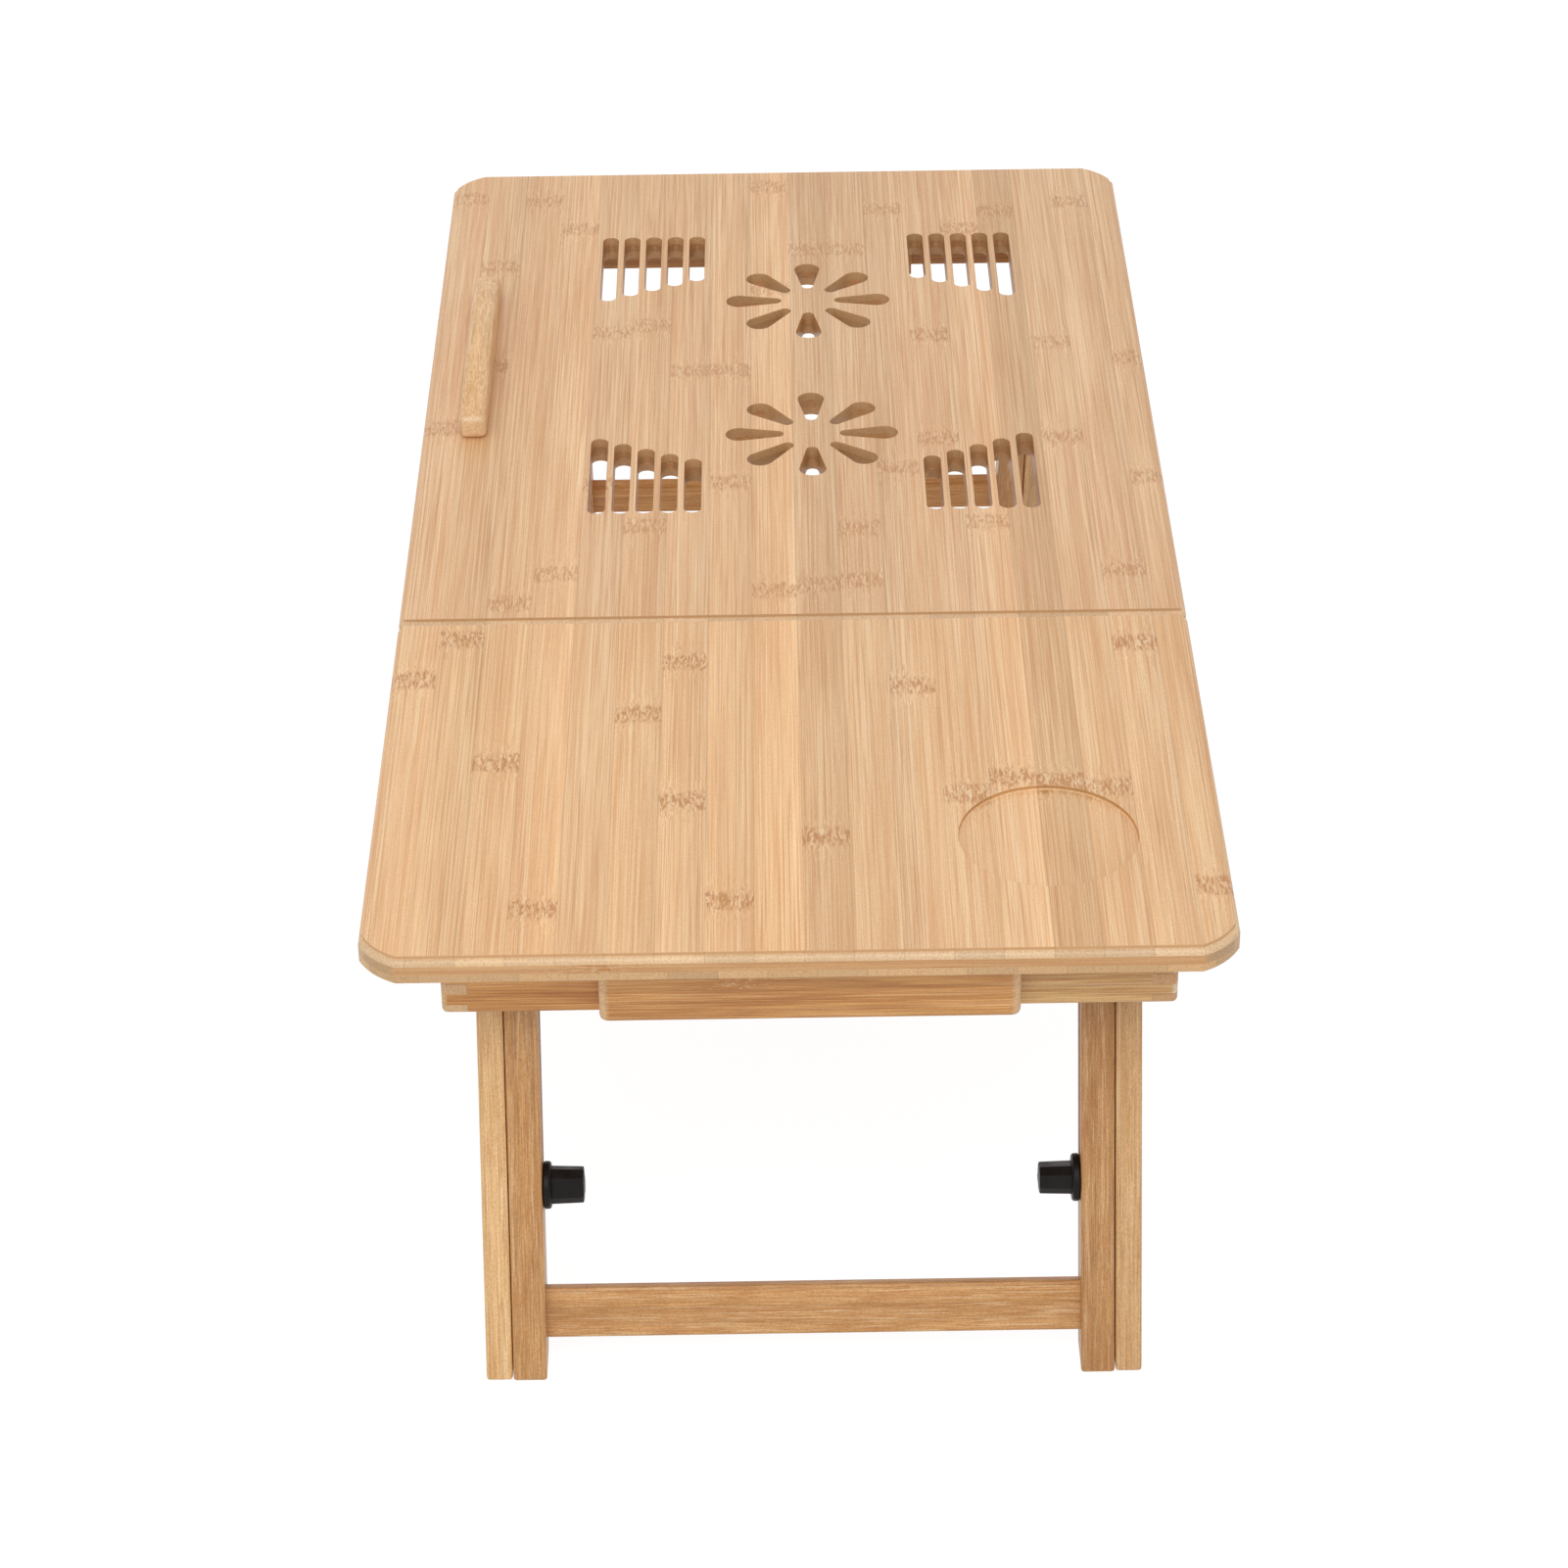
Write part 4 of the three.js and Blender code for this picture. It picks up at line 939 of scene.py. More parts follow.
def screws_tree():
    """A cross-head screw at every point, its head towards +Z, each turned at random."""
    tree, put, given = new_tree("Screws", ("Head radius", "Head height"), Seed="Int")
    radius, height = given["Head radius"], given["Head height"]
    rim = put("Math MULTIPLY", radius, 0.62)
    cone = {"Vertices": 24, "Radius Top": rim, "Radius Bottom": radius, "Depth": height}
    head = put("GeometryNodeMeshCone", cone)
    arm = put("Math MULTIPLY", radius, 1.05)
    width = put("Math MULTIPLY", radius, 0.22)
    bars = []
    for x, y in ((arm, width), (width, arm)):
        bars.append(put("GeometryNodeMeshCube", {"Size": put("CombineXYZ", x, y, height)}))
    lift = put("CombineXYZ", {"Z": put("Math MULTIPLY", height, 1.05)})
    cross = {"Geometry": put("GeometryNodeJoinGeometry", bars), "Translation": lift}
    cross = put("GeometryNodeTransform", cross)
    # The cross is two bars that pass through each other
    solids = {"Mesh 1": head, "Mesh 2": cross, "Self Intersection": True}
    screw = put("GeometryNodeMeshBoolean DIFFERENCE", solids, solver="EXACT")
    chance = {"Min": (0.0, 0.0, 0.0), "Max": (0.0, 0.0, 3.0), "Seed": given["Seed"]}
    turn = put("FunctionNodeRandomValue", chance, data_type="FLOAT_VECTOR")
    turn = put("FunctionNodeEulerToRotation", turn)
    points = {"Points": given["Geometry"], "Instance": screw, "Rotation": turn}
    screws = put("GeometryNodeRealizeInstances", put("GeometryNodeInstanceOnPoints", points))
    screws = put("GeometryNodeSetMaterial", {"Geometry": screws, "Material": given["Material"]})
    put("NodeGroupOutput", screws)
    return tree


# Table top


def board_ring(low, high, corners, inset, z, steps=14):
    """A ring round a board at a height, inset all round. Corners are (cut, radius), the far ones first."""
    ring = []
    for quarter_turn, (near, back) in enumerate(((1, 1), (0, 1), (0, 0), (1, 0))):
        cut, radius = corners[near]
        # How far inside both edges the middle of the arc lies
        middle = (cut + math.sqrt(2 * radius**2 - cut**2)) / 2
        x = (low.x, high.x)[near] + (1 - 2 * near) * middle
        y = (low.y, high.y)[back] + (1 - 2 * back) * middle
        reach = radius - inset
        start = math.acos(min(1, (middle - inset) / reach))
        for step in range(steps + 1):
            turn = start + step / steps * (math.pi / 2 - start * 2) + quarter_turn * math.pi / 2
            ring.append((x + reach * math.cos(turn), y + reach * math.sin(turn), z))
    return ring


def board(node, far_corner, near_corner, sizes):
    """A board of the top: eased underside, rounded bead and a small step up to its face."""
    low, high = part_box(node)
    ease = sizes.underside_ease
    levels = [(ease, low.z), (ease * 0.3, low.z + ease * 0.3), (0, low.z + ease)]
    bead_low = high.z - sizes.quirk_depth - sizes.bead_depth
    for sine, cosine in quarter(8):
        levels.append((sizes.bead_width * (1 - cosine), bead_low + sizes.bead_depth * sine))
    levels.append((sizes.bead_width, high.z))
    corners = (far_corner, near_corner)
    return loft(node + "_piece", [board_ring(low, high, corners, inset, z) for inset, z in levels])


class TABLE_OT_fixed_top(bpy.types.Operator):
    """Makes the fixed top with its cup recess"""

    bl_idname = "laptop_table.fixed_top"
    bl_label = "Fixed top"

    def execute(self, context):
        sizes = context.scene.laptop_table.top
        end, seam = (sizes.end_cut, sizes.end_radius), (sizes.seam_cut, sizes.seam_radius)
        piece = board("fixed_top", seam, end, sizes)
        low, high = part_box("fixed_top")
        fillet, depth = sizes.cup_fillet, sizes.cup_depth
        floor_edge = sizes.cup_radius - fillet
        profile = [(0, -depth)]
        for sine, cosine in quarter(8):
            profile.append((floor_edge + fillet * sine, fillet * (1 - cosine) - depth))
        profile += [(sizes.cup_radius, OVERRUN), (0, OVERRUN)]
        middle = (high.x - sizes.cup_from_end, high.y - sizes.cup_from_back, high.z)
        recess = turned("recess", profile, 144)
        moved(recess, Matrix.Rotation(math.pi / 2, 4, "X"), Matrix.Translation(middle))
        eased(joined(piece, [recess]), sizes.rim_ease, angle=40)
        finished(piece, "base", ["fixed_top"], "near_board_bamboo", "XY", (0, 0, -low.z / MM))
        return {"FINISHED"}


class TABLE_OT_tilt_panel(bpy.types.Operator):
    """Makes the tilting panel with its air vents"""

    bl_idname = "laptop_table.tilt_panel"
    bl_label = "Tilting panel"

    def execute(self, context):
        table = context.scene.laptop_table
        sizes, vents = table.top, table.vents
        end, seam = (sizes.end_cut, sizes.end_radius), (sizes.seam_cut, sizes.seam_radius)
        piece = board("tilt_panel", end, seam, sizes)
        low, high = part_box("tilt_panel")
        finish = "far_board_bamboo"
        values = {label: getattr(vents, label.lower().replace(" ", "_")) for label in VENT_LENGTHS}
        values["Material"] = finishes(context)[finish]
        x, y, z = low.x + vents.from_far_end, low.y + vents.from_front, (low.z + high.z) / 2
        values["Middle"] = Vector((x, y, z))
        values["Petals"] = vents.petal_count
        values["Slots"] = vents.slot_count
        values["Cut depth"] = high.z - low.z + OVERRUN
        grown(piece, vents_tree(), values)
        eased(piece, sizes.rim_ease, angle=40)
        finished(piece, "tilting_panel", ["tilt_panel"], finish, "XY", (0, 0, -low.z / MM))
        return {"FINISHED"}


ARCH_STEPS = 32


class TABLE_OT_stop_bar(bpy.types.Operator):
    """Makes the arched stop bar"""

    bl_idname = "laptop_table.stop_bar"
    bl_label = "Stop bar"

    def execute(self, context):
        sizes = context.scene.laptop_table.frame
        low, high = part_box("stop_bar")
        corner, end = sizes.stop_corner, low.z + sizes.stop_end
        outline = [(low.x, low.z), (high.x, low.z)]
        outline += arc(high.x - corner, end - corner, corner, 0, math.pi / 2, 8)
        middle, half = (low.x + high.x) / 2, (high.x - low.x) / 2 - corner
        for step in range(1, ARCH_STEPS):
            t = 1 - step * 2 / ARCH_STEPS
            outline.append((middle + half * t, end + (high.z - end) * (1 - t * t)))
        outline += arc(low.x + corner, end - corner, corner, math.pi / 2, math.pi, 8)
        piece = prism("stop_bar_piece", outline, "Y", low.y, high.y)
        eased(piece, sizes.stop_edge, 5, 50)
        finished(piece, "tilting_panel", ["stop_bar"], "stop_bar_bamboo", "XY")
        return {"FINISHED"}


# Frame and drawer

# Radius of the rails' holes for the pivots and for the dowels that stop the legs
PIVOT_HOLE = 3.3 * MM
STOP_HOLE = 3.2 * MM
# Roundings of sawn pieces, and the least ones where a rounding shrinks with an inset
SAWN_EASE = 0.3 * MM
RUNNER_EASE = 0.5 * MM
LEAST_FRAME_CORNER = 0.5 * MM
LEAST_DRAWER_CORNER = 1 * MM
DRAWER_BACK_EASE = 0.6 * MM
# How far the grain of each piece is shifted, in mm, so that like pieces differ
RAIL_SHIFT = 140
APRON_SHIFT = 131
# Tints that tell pieces cut from other stock
RAIL_SHADES = {"front": PLAIN, "back": (0.88, 0.79, 0.7)}
APRON_SHADES = {
    "apron_far": PLAIN,
    "apron_near_front": (1.02, 0.96, 0.84),
    "apron_near_back": (1.13, 1.42, 1.9),
}


def frame_envelope(sizes):
    """The space inside the frame's rounded outside, eased at its foot."""
    far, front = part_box("apron_far")[0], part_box("side_rail_front")[0]
    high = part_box("side_rail_back")[1]
    half_x, half_y = (high.x - far.x) / 2, (high.y - front.y) / 2
    middle = ((high.x + far.x) / 2, (high.y + front.y) / 2)
    rings = []
    for sine, cosine in quarter(4):
        inset = sizes.foot_ease * (1 - sine)
        corner = max(sizes.corner - inset, LEAST_FRAME_CORNER)
        outline = rounded_box(half_x - inset, half_y - inset, corner, middle, 8)
        rings.append(lifted(outline, "Z", front.z + sizes.foot_ease * (1 - cosine)))
    rings.append(lifted(rounded_box(half_x, half_y, sizes.corner, middle, 8), "Z", high.z + OVERRUN))
    return loft("envelope", rings)


def fingers(sizes, end, side):
    """The fingers of an end board where it passes through a side rail."""
    rail_low, rail_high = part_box("side_rail_front" if side < 0 else "side_rail_back")
    board_low, board_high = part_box("apron_far")
    thickness = board_high.x - board_low.x
    x0, x1 = sorted((end * (rail_high.x + OVERRUN), end * (rail_high.x - thickness)))
    y0 = rail_low.y - (OVERRUN if side < 0 else 0)
    y1 = rail_high.y + (OVERRUN if side > 0 else 0)
    lowest = rail_low.z + sizes.lowest_finger
    heights = [lowest, lowest + sizes.finger * 2]
    return [block("finger", (x0, y0, z), (x1, y1, z + sizes.finger)) for z in heights]


class TABLE_OT_frame(bpy.types.Operator):
    """Makes the rails, the end boards with their finger joints, the sill and the middle rail"""

    bl_idname = "laptop_table.frame"
    bl_label = "Frame"

    def execute(self, context):
        sizes = context.scene.laptop_table.frame
        for name, side in SIDES.items():
            node = "side_rail_" + name
            low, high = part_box(node)
            piece = joined(block(node + "_piece", low, high), [frame_envelope(sizes)], "INTERSECT")
            tools = [tool for end in ENDS.values() for tool in fingers(sizes, end, side)]
            for end in ENDS:
                pivot = middle_of(f"pivot_rivet_{end}_{name}")
                place = (pivot.x, pivot.z)
                tools.append(rod("pivot_hole", PIVOT_HOLE, low.y - OVERRUN, high.y + OVERRUN, "Y", place))
                stop = f"leg_stop_{end}_{name}"
                stop_low, stop_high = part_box(stop)
                place = (middle_of(stop).x, middle_of(stop).z)
                tools.append(rod("stop_hole", STOP_HOLE, stop_low.y, stop_high.y, "Y", place))
            eased(joined(piece, tools), sizes.joint_ease)
            offset = (side * RAIL_SHIFT, 0, 0)
            finished(piece, "base", [node], "rail_bamboo", "XZ", offset, RAIL_SHADES[name])
        for node, end, sides in (
            ("apron_far", -1, ("front", "back")),
            ("apron_near_front", 1, ("front",)),
            ("apron_near_back", 1, ("back",)),
        ):
            low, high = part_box(node)
            y0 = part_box("side_rail_front")[1].y if "front" in sides else low.y
            y1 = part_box("side_rail_back")[0].y if "back" in sides else high.y
            piece = block(node + "_piece", (low.x, y0, low.z), (high.x, y1, high.z))
            joined(piece, [tool for name in sides for tool in fingers(sizes, end, SIDES[name])], "UNION")
            joined(piece, [frame_envelope(sizes)], "INTERSECT")
            eased(piece, sizes.joint_ease)
            offset = (end * APRON_SHIFT, 0, 0)
            finished(piece, "base", [node], "rail_bamboo", "YZ", offset, APRON_SHADES[node])
        for node in ("drawer_sill", "middle_rail"):
            copied(node, "base", "rail_bamboo", SAWN_EASE, "YZ")
        return {"FINISHED"}


class TABLE_OT_drawer(bpy.types.Operator):
    """Makes the drawer and its runners"""

    bl_idname = "laptop_table.drawer"
    bl_label = "Drawer"

    def execute(self, context):
        sizes = context.scene.laptop_table.frame
        low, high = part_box("drawer_front")
        half_y, half_z = (high.y - low.y) / 2, (high.z - low.z) / 2
        middle = ((high.y + low.y) / 2, (high.z + low.z) / 2)
        levels = [(DRAWER_BACK_EASE, low.x), (0, low.x + DRAWER_BACK_EASE)]
        for sine, cosine in quarter(6):
            levels.append((sizes.drawer_round * (1 - cosine), high.x - sizes.drawer_round * (1 - sine)))
        rings = []
        for inset, x in levels:
            corner = max(sizes.drawer_corner - inset, LEAST_DRAWER_CORNER)
            half_width = half_y - inset * sizes.drawer_end_share
            outline = rounded_box(half_width, half_z - inset, corner, middle, 8)
            rings.append(lifted(outline, "X", x))
        finished(loft("drawer_front_piece", rings), "drawer", ["drawer_front"], "rail_bamboo", "YZ")
        for node, body, ease, grain in (
            ("drawer_side_front", "drawer", SAWN_EASE, "XZ"),
            ("drawer_side_back", "drawer", SAWN_EASE, "XZ"),
            ("drawer_end", "drawer", SAWN_EASE, "YZ"),
            ("drawer_bottom", "drawer", SAWN_EASE, "XY"),
            ("drawer_runner_front", "base", RUNNER_EASE, "XZ"),
            ("drawer_runner_back", "base", RUNNER_EASE, "XZ"),
        ):
            copied(node, body, "rail_bamboo", ease, grain)
        return {"FINISHED"}


# Tilt gear

PLATE_EASE = 0.15 * MM
RACK_EASE = 0.4 * MM
SADDLE_EASE = 0.6 * MM
PROP_ARM_EASE = 0.8 * MM
# Radius of the holes in the prop's arms
PROP_HOLE = 2.6 * MM


class TABLE_OT_tilt_gear(bpy.types.Operator):
    """Makes the hinges, the prop, its saddles and its racks"""

    bl_idname = "laptop_table.tilt_gear"
    bl_label = "Tilt gear"

    def execute(self, context):
        for end in ENDS:
            for node, body in (
                (f"hinge_fixed_leaf_{end}", "base"),
                (f"hinge_pin_{end}", "base"),
                (f"hinge_moving_leaf_{end}", "tilting_panel"),
            ):
                copied(node, body, "zinc_plated_steel", PLATE_EASE)
            copied(f"tilt_rack_{end}", "base", "rail_bamboo", RACK_EASE, "YZ")
        for place in ("far", "middle", "near"):
            copied("prop_saddle_" + place, "tilting_panel", "rail_bamboo", SADDLE_EASE, "YZ")
        rods = {}
        for node in ("prop_axle", "prop_foot_rod"):
            low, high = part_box(node)
            rods[node] = ((low.y + high.y) / 2, (low.z + high.z) / 2)
            piece = rod(node + "_piece", (high.z - low.z) / 2, low.x, high.x, "X", rods[node])
            finished(piece, "prop", [node], "zinc_plated_steel")
        for end in ENDS:
            node = "prop_arm_" + end
            low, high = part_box(node)
            radius = (high.z - low.z) / 2
            (y0, z), (y1, _) = rods["prop_axle"], rods["prop_foot_rod"]
            outline = arc(y1, z, radius, -math.pi / 2, math.pi / 2, 20)
            outline += arc(y0, z, radius, math.pi / 2, 3 * math.pi / 2, 20)
            piece = eased(prism(node + "_piece", outline, "X", low.x, high.x), PROP_ARM_EASE, 3)
            x0, x1 = low.x - OVERRUN, high.x + OVERRUN
            joined(piece, [rod("hole", PROP_HOLE, x0, x1, "X", place) for place in rods.values()])
            finished(piece, "prop", [node], "rail_bamboo", "YZ")
        return {"FINISHED"}


# Legs

LEG_HALF_DEPTH = 10 * MM
CROSSBAR_EDGE = 1.4 * MM
# The bolts' seats have square edges, so their cutter is hardly eased
SEAT_EASE = 0.01 * MM
# How far the bars' grain is shifted along itself and across, in mm, so that like bars differ
UPPER_SHIFT = (310, 41.7)
LOWER_SHIFT = (210, 33.1)
CROSSBAR_SHIFT = 77
UPPER_SHADES = {"front": (1, 1, 0.97), "back": (0.84, 0.81, 0.78)}
LOWER_SHADES = {"front": PLAIN, "back": (0.87, 0.84, 0.81)}
# The far legs and the far crossbar are painted brighter and warmer: painted light under the table, where
# they are lit less
FAR_LEG_SHADE = (1.08, 1.03, 0.96)
CROSSBAR_SHADES = {"near": PLAIN, "far": (1.25, 1.12, 0.8)}


def leg_shape():
    """The pivot's place, the clamp's distance down the leg and the leg's lean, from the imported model."""
    pivot, clamp = middle_of("pivot_rivet_near_front"), middle_of("clamp_bolt_near_front")
    down = pivot - clamp
    lean = math.atan2(-down.x, down.z)
    return pivot, math.hypot(down.x, down.z), lean


def leg_matrix(end):
    """Takes a leg piece from its own frame, Z up the leg and X towards its outer face, to its place."""
    pivot, _, lean = leg_shape()
    shift = middle_of("apron_far").y
    round_about = Matrix.Rotation(0 if ENDS[end] > 0 else math.pi, 4, "Z")
    place = Matrix.Translation((pivot.x, 0, pivot.z)) @ Matrix.Rotation(-lean, 4, "Y")
    return Matrix.Translation((0, shift, 0)) @ round_about @ place


def span(node):
    """How far a near leg piece reaches across the table, seen from the frame's middle line."""
    low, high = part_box(node)
    shift = middle_of("apron_far").y
    return low.y - shift, high.y - shift


def foot(x, lift):
    """The height on the leg of a level above the floor, at a distance from the leg's axis."""
    pivot, _, lean = leg_shape()
    return (lift - pivot.z - x * math.sin(lean)) / math.cos(lean)


class TABLE_OT_legs(bpy.types.Operator):
    """Makes the leg bars, the crossbars and the dowels that stop the legs"""

    bl_idname = "laptop_table.legs"
    bl_label = "Legs"

    def execute(self, context):
        sizes = context.scene.laptop_table.legs
        pivot, clamp, lean = leg_shape()
        half, edge, corner = LEG_HALF_DEPTH, sizes.edge, sizes.corner
        for end, outwards in ENDS.items():
            matrix, extension = leg_matrix(end), end + "_leg_extension"
            for name, side in SIDES.items():
                # The far frame is the near one turned round, so its front is the near one's back
                twin = name if end == "near" else {"front": "back", "back": "front"}[name]
                node = f"upper_leg_{end}_{name}"
                y0, y1 = span("upper_leg_near_" + twin)
                outline = arc(0, 0, half, 0, math.pi, 24)
                outline += [(-half, foot(-half, sizes.upper_lift)), (half, foot(half, sizes.upper_lift))]
                piece = eased(prism(node + "_piece", outline, "Y", y0, y1), edge, 3, 50)
                seat = (y1 - sizes.bolt_seat_depth, y1 + OVERRUN)
                if y0 < 0:
                    seat = (y0 - OVERRUN, y0 + sizes.bolt_seat_depth)
                through = (y0 - OVERRUN, y1 + OVERRUN)
                holes = [rod("hole", sizes.bore, *through, "Y", (0, z)) for z in (0, -clamp)]
                holes.append(rod("hole", sizes.bolt_seat, *seat, "Y", (0, -clamp), SEAT_EASE))
                joined(piece, holes)
                shade = FAR_LEG_SHADE if end == "far" else UPPER_SHADES[name]
                offset = (outwards * UPPER_SHIFT[0], side * UPPER_SHIFT[1], 0)
                finished(piece, end + "_leg_frame", [node], "upper_leg_bamboo", "ZY", offset, shade, matrix)

                node = f"lower_leg_{end}_{name}"
                y0, y1 = span("lower_leg_near_" + twin)
                outline = rounded(
                    [
                        (-half, foot(-half, 0), corner),
                        (half, foot(half, 0), corner),
                        (half, -sizes.lower_top, corner),
                        (-half, -sizes.lower_top, corner),
                    ]
                )
                piece = eased(prism(node + "_piece", outline, "Y", y0, y1), edge, 3, 50)
                opening = arc(0, -clamp, sizes.bore, math.pi, 2 * math.pi, 20)
                opening += arc(0, sizes.slot_travel - clamp, sizes.bore, 0, math.pi, 20)
                joined(piece, [prism("slot", opening, "Y", y0 - OVERRUN, y1 + OVERRUN)])
                shade = FAR_LEG_SHADE if end == "far" else LOWER_SHADES[name]
                offset = (outwards * LOWER_SHIFT[0], side * LOWER_SHIFT[1], 0)
                finished(piece, extension, [node], "lower_leg_bamboo", "ZY", offset, shade, matrix)
                copied(f"leg_stop_{end}_{name}", "base", "lower_leg_bamboo", SAWN_EASE, "YX")

            node = "crossbar_" + end
            half_height = sizes.crossbar_height / 2
            middle = (0, sizes.crossbar_lift - pivot.z / math.cos(lean) + half_height)
            outline = rounded_box(sizes.crossbar_thickness / 2, half_height, CROSSBAR_EDGE, middle)
            piece = prism(node + "_piece", outline, "Y", *span("crossbar_near"))
            shade, offset = CROSSBAR_SHADES[end], (outwards * CROSSBAR_SHIFT, 0, 0)
            finished(piece, extension, [node], "lower_leg_bamboo", "YZ", offset, shade, matrix)
        return {"FINISHED"}


# Fasteners and knobs

RIVET_SHANK = 3 * MM
RIVET_EASE = 0.4 * MM
RIVET_ROUND = 0.8 * MM
# The hollow in a rivet's inner end narrows from the first radius to the second over its depth
HOLLOW_WIDE = 1.6 * MM
HOLLOW_NARROW = 1.2 * MM
HOLLOW_DEPTH = 1 * MM
BOLT_EASE = 0.25 * MM
SCREW_RADIUS = 2.6 * MM
SCREW_HEIGHT = 0.8 * MM
SCREW_SEED = 3


class TABLE_OT_fasteners(bpy.types.Operator):
    """Makes the rivets and the clamp bolts"""

    bl_idname = "laptop_table.fasteners"
    bl_label = "Fasteners"

    def execute(self, context):
        sizes = context.scene.laptop_table.legs
        head, dome = sizes.rivet_head, sizes.rivet_dome
        for end in ENDS:
            for name, side in SIDES.items():
                node = f"pivot_rivet_{end}_{name}"
                low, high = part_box(node)
                outer, inner = (low.y, high.y) if side < 0 else (-high.y, -low.y)
                face, back, hollow = outer + dome, inner - dome, inner - HOLLOW_DEPTH
                profile = [(head * sine, face - dome * cosine) for sine, cosine in quarter(8)]
                profile += [(RIVET_SHANK, face), (RIVET_SHANK, back), (head - RIVET_EASE, back)]
                profile += [(head, back + RIVET_EASE), (head, inner - RIVET_ROUND)]
                profile += [(head - RIVET_ROUND, inner), (HOLLOW_WIDE, inner)]
                profile += [(HOLLOW_NARROW, hollow), (0, hollow)]
                piece = turned(node + "_piece", profile, 48)
                if side > 0:
                    moved(piece, HALF_TURN)
                middle = middle_of(node)
                moved(piece, Matrix.Translation((middle.x, 0, middle.z)))
                finished(piece, "base", [node], "zinc_plated_steel")
                copied(f"clamp_bolt_{end}_{name}", end + "_leg_frame", "zinc_plated_steel", BOLT_EASE)
        return {"FINISHED"}


def spots(node, axis, shares, rest):
    """Places along an axis of a CAD node's box, at shares of its length. The rest gives the other two axes,
    each as a share of the box and a distance from there in mm."""
    low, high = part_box(node)
    places = []
    for share in shares:
        parts = [(share, 0) if name == axis else rest[name] for name in "XYZ"]
        places.append([a + (b - a) * part + away * MM for a, b, (part, away) in zip(low, high, parts)])
    return places


class TABLE_OT_screws(bpy.types.Operator):
    """Sets the screws of the hinges, the racks and the runners"""

    bl_idname = "laptop_table.screws"
    bl_label = "Screws"

    def execute(self, context):
        steel = finishes(context)["zinc_plated_steel"]
        tree = screws_tree()
        down, front = Matrix.Rotation(math.pi, 4, "X"), Matrix.Rotation(math.pi / 2, 4, "X")
        sets = {("base", "front"): [], ("base", "down"): [], ("tilting_panel", "down"): []}
        for end in ENDS:
            leaf = (0.14, 0.5, 0.86)
            places = spots(f"hinge_fixed_leaf_{end}", "X", leaf, {"Y": (0, 4.3), "Z": (0, 5)})
            sets["base", "front"] += places
            places = spots(f"hinge_moving_leaf_{end}", "X", leaf, {"Y": (0, 6), "Z": (1, -1.5)})
            sets["tilting_panel", "down"] += places
            sets["base", "down"] += spots(f"tilt_rack_{end}", "Y", (0.2, 0.8), {"X": (0.5, 0), "Z": (0, 0)})
        for side, wall in (("front", (0, 3)), ("back", (1, -3))):
            places = spots("drawer_runner_" + side, "X", (0.1, 0.5, 0.9), {"Y": wall, "Z": (0, 0)})
            sets["base", "down"] += places
        for (body, way), places in sets.items():
            turn = down if way == "down" else front
            mesh = bpy.data.meshes.new("points")
            mesh.from_pydata([turn.inverted() @ Vector(place) for place in places], [], [])
            piece = linked(f"screws_{body}_{way}", mesh)
            values = {"Material": steel, "Seed": SCREW_SEED}
            values.update({"Head radius": SCREW_RADIUS, "Head height": SCREW_HEIGHT})
            moved(grown(piece, tree, values), turn)
            finished(piece, body, [], "zinc_plated_steel")
        return {"FINISHED"}


# A knob's grip narrows to this share of its size at the tip
KNOB_TAPER = 0.94
KNOB_FOOT_EASE = 0.5 * MM
KNOB_RIM_ROUND = 1.2 * MM
# The grip's rounded shoulder starts this far below its tip, and a low dome closes it
KNOB_SHOULDER = 1.1 * MM
KNOB_SHOULDER_ROUND = 0.7 * MM
KNOB_DOME = ((0.25 * MM, 2.4 * MM), (0, 4.3 * MM))
# The grip goes this far into the flange
KNOB_SINK = 2 * MM
KNOB_EDGE = 0.3 * MM
# The chamfers leave at least this half width and half thickness of the flat sides
KNOB_LEAST_WIDTH = 0.6 * MM
KNOB_LEAST_THICKNESS = 0.5 * MM


def knob_grip(sizes, rim, tip):
    """An eight-sided grip between two places on Y, its corners cut off."""
    half_width, half_thickness = sizes.knob_width / 2, sizes.knob_thickness / 2
    shoulder = tip - KNOB_SHOULDER
    levels = [(rim - KNOB_SINK, 1.0, 0), (shoulder, KNOB_TAPER, 0)]
    for sine, cosine in quarter(4)[1:]:
        inset = KNOB_SHOULDER_ROUND * (1 - cosine)
        levels.append((shoulder + KNOB_SHOULDER_ROUND * sine, KNOB_TAPER, inset))
    levels += [(tip - drop, KNOB_TAPER, inset) for drop, inset in KNOB_DOME]
    rings = []
    for y, scale, inset in levels:
        w, t = half_width * scale - inset, half_thickness * scale - inset
        chamfer = sizes.knob_chamfer * scale
        corners = []
        for i, j in ((-1, -1), (1, -1), (1, 1), (-1, 1)):
            first = (i * t, j * max(w - chamfer, KNOB_LEAST_WIDTH), KNOB_EDGE)
            second = (i * max(t - chamfer, KNOB_LEAST_THICKNESS), j * w, KNOB_EDGE)
            corners += [first, second] if i * j > 0 else [second, first]
        rings.append(lifted(rounded(corners, 4), "Y", y))
    return loft("grip", rings)


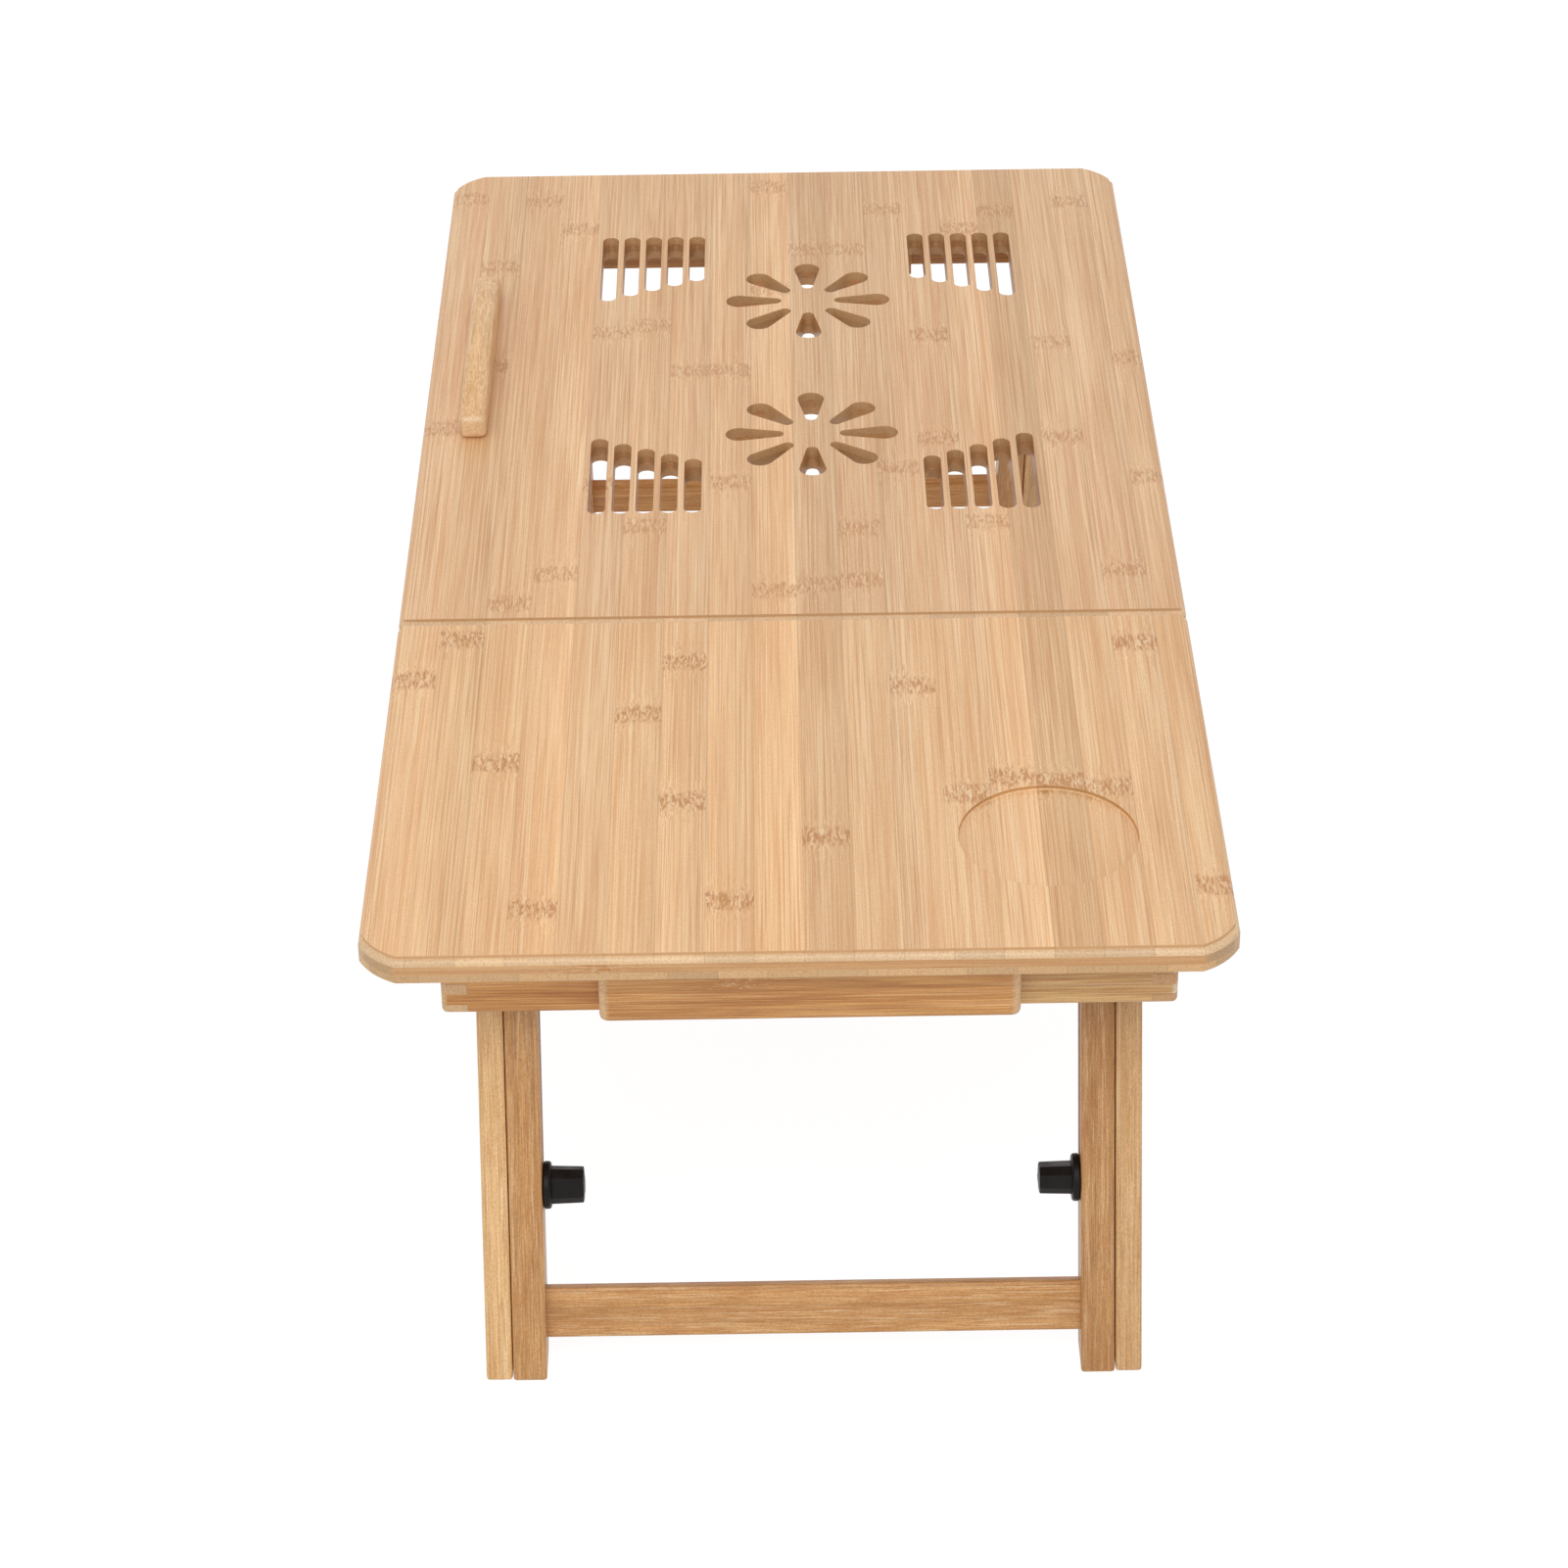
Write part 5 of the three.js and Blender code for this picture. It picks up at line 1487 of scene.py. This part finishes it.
class TABLE_OT_knobs(bpy.types.Operator):
    """Makes the four clamp knobs"""

    bl_idname = "laptop_table.knobs"
    bl_label = "Knobs"

    def execute(self, context):
        sizes = context.scene.laptop_table.legs
        _, clamp, _ = leg_shape()
        shift = middle_of("apron_far").y
        radius = sizes.knob_flange
        for end in ENDS:
            for name, side in SIDES.items():
                node = f"clamp_knob_{end}_{name}"
                low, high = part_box(node)
                face, tip = (low.y - shift, high.y - shift) if side < 0 else (shift - high.y, shift - low.y)
                rim = face + sizes.knob_flange_height
                profile = [(0, face), (radius - KNOB_FOOT_EASE, face), (radius, face + KNOB_FOOT_EASE)]
                for sine, cosine in quarter(5):
                    inset, drop = KNOB_RIM_ROUND * (1 - cosine), KNOB_RIM_ROUND * (1 - sine)
                    profile.append((radius - inset, rim - drop))
                knob = turned(node + "_piece", profile + [(0, rim)], 64)
                grip = knob_grip(sizes, rim, tip)
                if side > 0:
                    moved(grip, Matrix.Rotation(math.pi / 2, 4, "Y"))
                joined(knob, [grip], "UNION")
                if side > 0:
                    moved(knob, HALF_TURN)
                moved(knob, Matrix.Translation((0, 0, -clamp)))
                if end == "far":
                    moved(knob, HALF_TURN)
                moved(knob, leg_matrix(end))
                finished(knob, f"{end}_{name}_knob", [node], "black_moulded_plastic")
        return {"FINISHED"}


# Studio

SENSOR_WIDTH = 36
CLIP_RANGE = (0.05, 50)
FLOOR_REACH = 9
WHITE = (1, 1, 1, 1)
PAPER = (0.82, 0.82, 0.82, 1)
# Strength of the white that the floor shows to the camera
PAPER_GLOW = 1.13
LAMP_SIZE = 2.2
LAMP_PLACE = (2.0, -0.35, 2.3)
LAMP_AIM = Vector((0, 0, 0.2))


def looked_at(put):
    """1 on rays from the camera, a reflection or a clear surface, and 0 on the rest."""
    path = put("LightPath").outputs
    seen = put("Math MAXIMUM", path["Is Camera Ray"], path["Is Glossy Ray"])
    return put("Math MAXIMUM", seen, path["Is Transmission Ray"])


class TABLE_OT_studio(bpy.types.Operator):
    """Makes the camera, the pale floor and the soft light"""

    bl_idname = "laptop_table.studio"
    bl_label = "Studio"

    def execute(self, context):
        scene = context.scene
        studio = scene.laptop_table.studio
        level = math.cos(studio.pitch)
        sideways = (-level * math.cos(studio.yaw), level * math.sin(studio.yaw))
        forward = Vector((*sideways, -math.sin(studio.pitch)))
        right = Vector((math.sin(studio.yaw), math.cos(studio.yaw), 0))
        down = forward.cross(right)
        rolled_right = right * math.cos(studio.roll) + down * math.sin(studio.roll)
        rolled_down = down * math.cos(studio.roll) - right * math.sin(studio.roll)
        camera = bpy.data.cameras.new("camera")
        camera.lens, camera.sensor_width = studio.lens, SENSOR_WIDTH
        camera.clip_start, camera.clip_end = CLIP_RANGE
        eye = linked("camera", camera)
        turn = Matrix((rolled_right, -rolled_down, -forward)).transposed()
        eye.matrix_world = Matrix.Translation(Vector(studio.camera)) @ turn.to_4x4()
        scene.camera = eye

        material, put = new_material("studio_floor_paper")
        part = put("Math MULTIPLY", looked_at(put), 1 - studio.shadow)
        paper = put("BsdfDiffuse", PAPER)
        white = put("Emission", WHITE, PAPER_GLOW)
        mixed = put("MixShader", part, paper, white)
        # Seen from below, the floor lets the table's underside show
        behind = put("NewGeometry").outputs["Backfacing"]
        mixed = put("MixShader", behind, mixed, put("BsdfTransparent"))
        put("OutputMaterial", mixed)
        mesh = bpy.data.meshes.new("floor")
        corners = [(i * FLOOR_REACH, j * FLOOR_REACH, 0) for i, j in ((-1, -1), (1, -1), (1, 1), (-1, 1))]
        mesh.from_pydata(corners, [], [(0, 1, 2, 3)])
        mesh.materials.append(material)
        linked("floor", mesh)

        world = bpy.data.worlds.new("studio_sky")
        world.use_nodes = True
        world.node_tree.nodes.clear()
        put = partial(add, world.node_tree)
        light = put("Background", WHITE, studio.sky)
        white = put("Background", WHITE, 1.0)
        put("OutputWorld", put("MixShader", looked_at(put), light, white))
        scene.world = world

        lamp = bpy.data.lights.new("key", "AREA")
        lamp.shape, lamp.size, lamp.energy = "DISK", LAMP_SIZE, studio.key
        key = linked("key", lamp)
        key.location = LAMP_PLACE
        key.rotation_euler = (LAMP_AIM - key.location).to_track_quat("-Z", "Y").to_euler()
        scene.view_settings.view_transform = "Standard"
        return {"FINISHED"}


class TABLE_PT_panel(bpy.types.Panel):
    """Lists the pieces of the table"""

    bl_idname = "TABLE_PT_panel"
    bl_label = "Laptop table"
    bl_space_type = "VIEW_3D"
    bl_region_type = "UI"
    bl_category = "Laptop table"

    def draw(self, context):
        for operator in OPERATORS:
            self.layout.operator(operator.bl_idname)


GROUPS = (TableTopSizes, VentSizes, FrameSizes, LegSizes, Finishes, StudioSettings, LaptopTable)
OPERATORS = (
    TABLE_OT_studio,
    TABLE_OT_fixed_top,
    TABLE_OT_tilt_panel,
    TABLE_OT_stop_bar,
    TABLE_OT_frame,
    TABLE_OT_drawer,
    TABLE_OT_tilt_gear,
    TABLE_OT_legs,
    TABLE_OT_fasteners,
    TABLE_OT_screws,
    TABLE_OT_knobs,
)


def register():
    for item in (*GROUPS, *OPERATORS, TABLE_PT_panel):
        bpy.utils.register_class(item)
    bpy.types.Scene.laptop_table = PointerProperty(type=LaptopTable)


def unregister():
    del bpy.types.Scene.laptop_table
    for item in reversed((*GROUPS, *OPERATORS, TABLE_PT_panel)):
        bpy.utils.unregister_class(item)


def main():
    register()
    for operator in OPERATORS:
        group, name = operator.bl_idname.split(".")
        getattr(getattr(bpy.ops, group), name)()


if __name__ == "__main__":
    main()
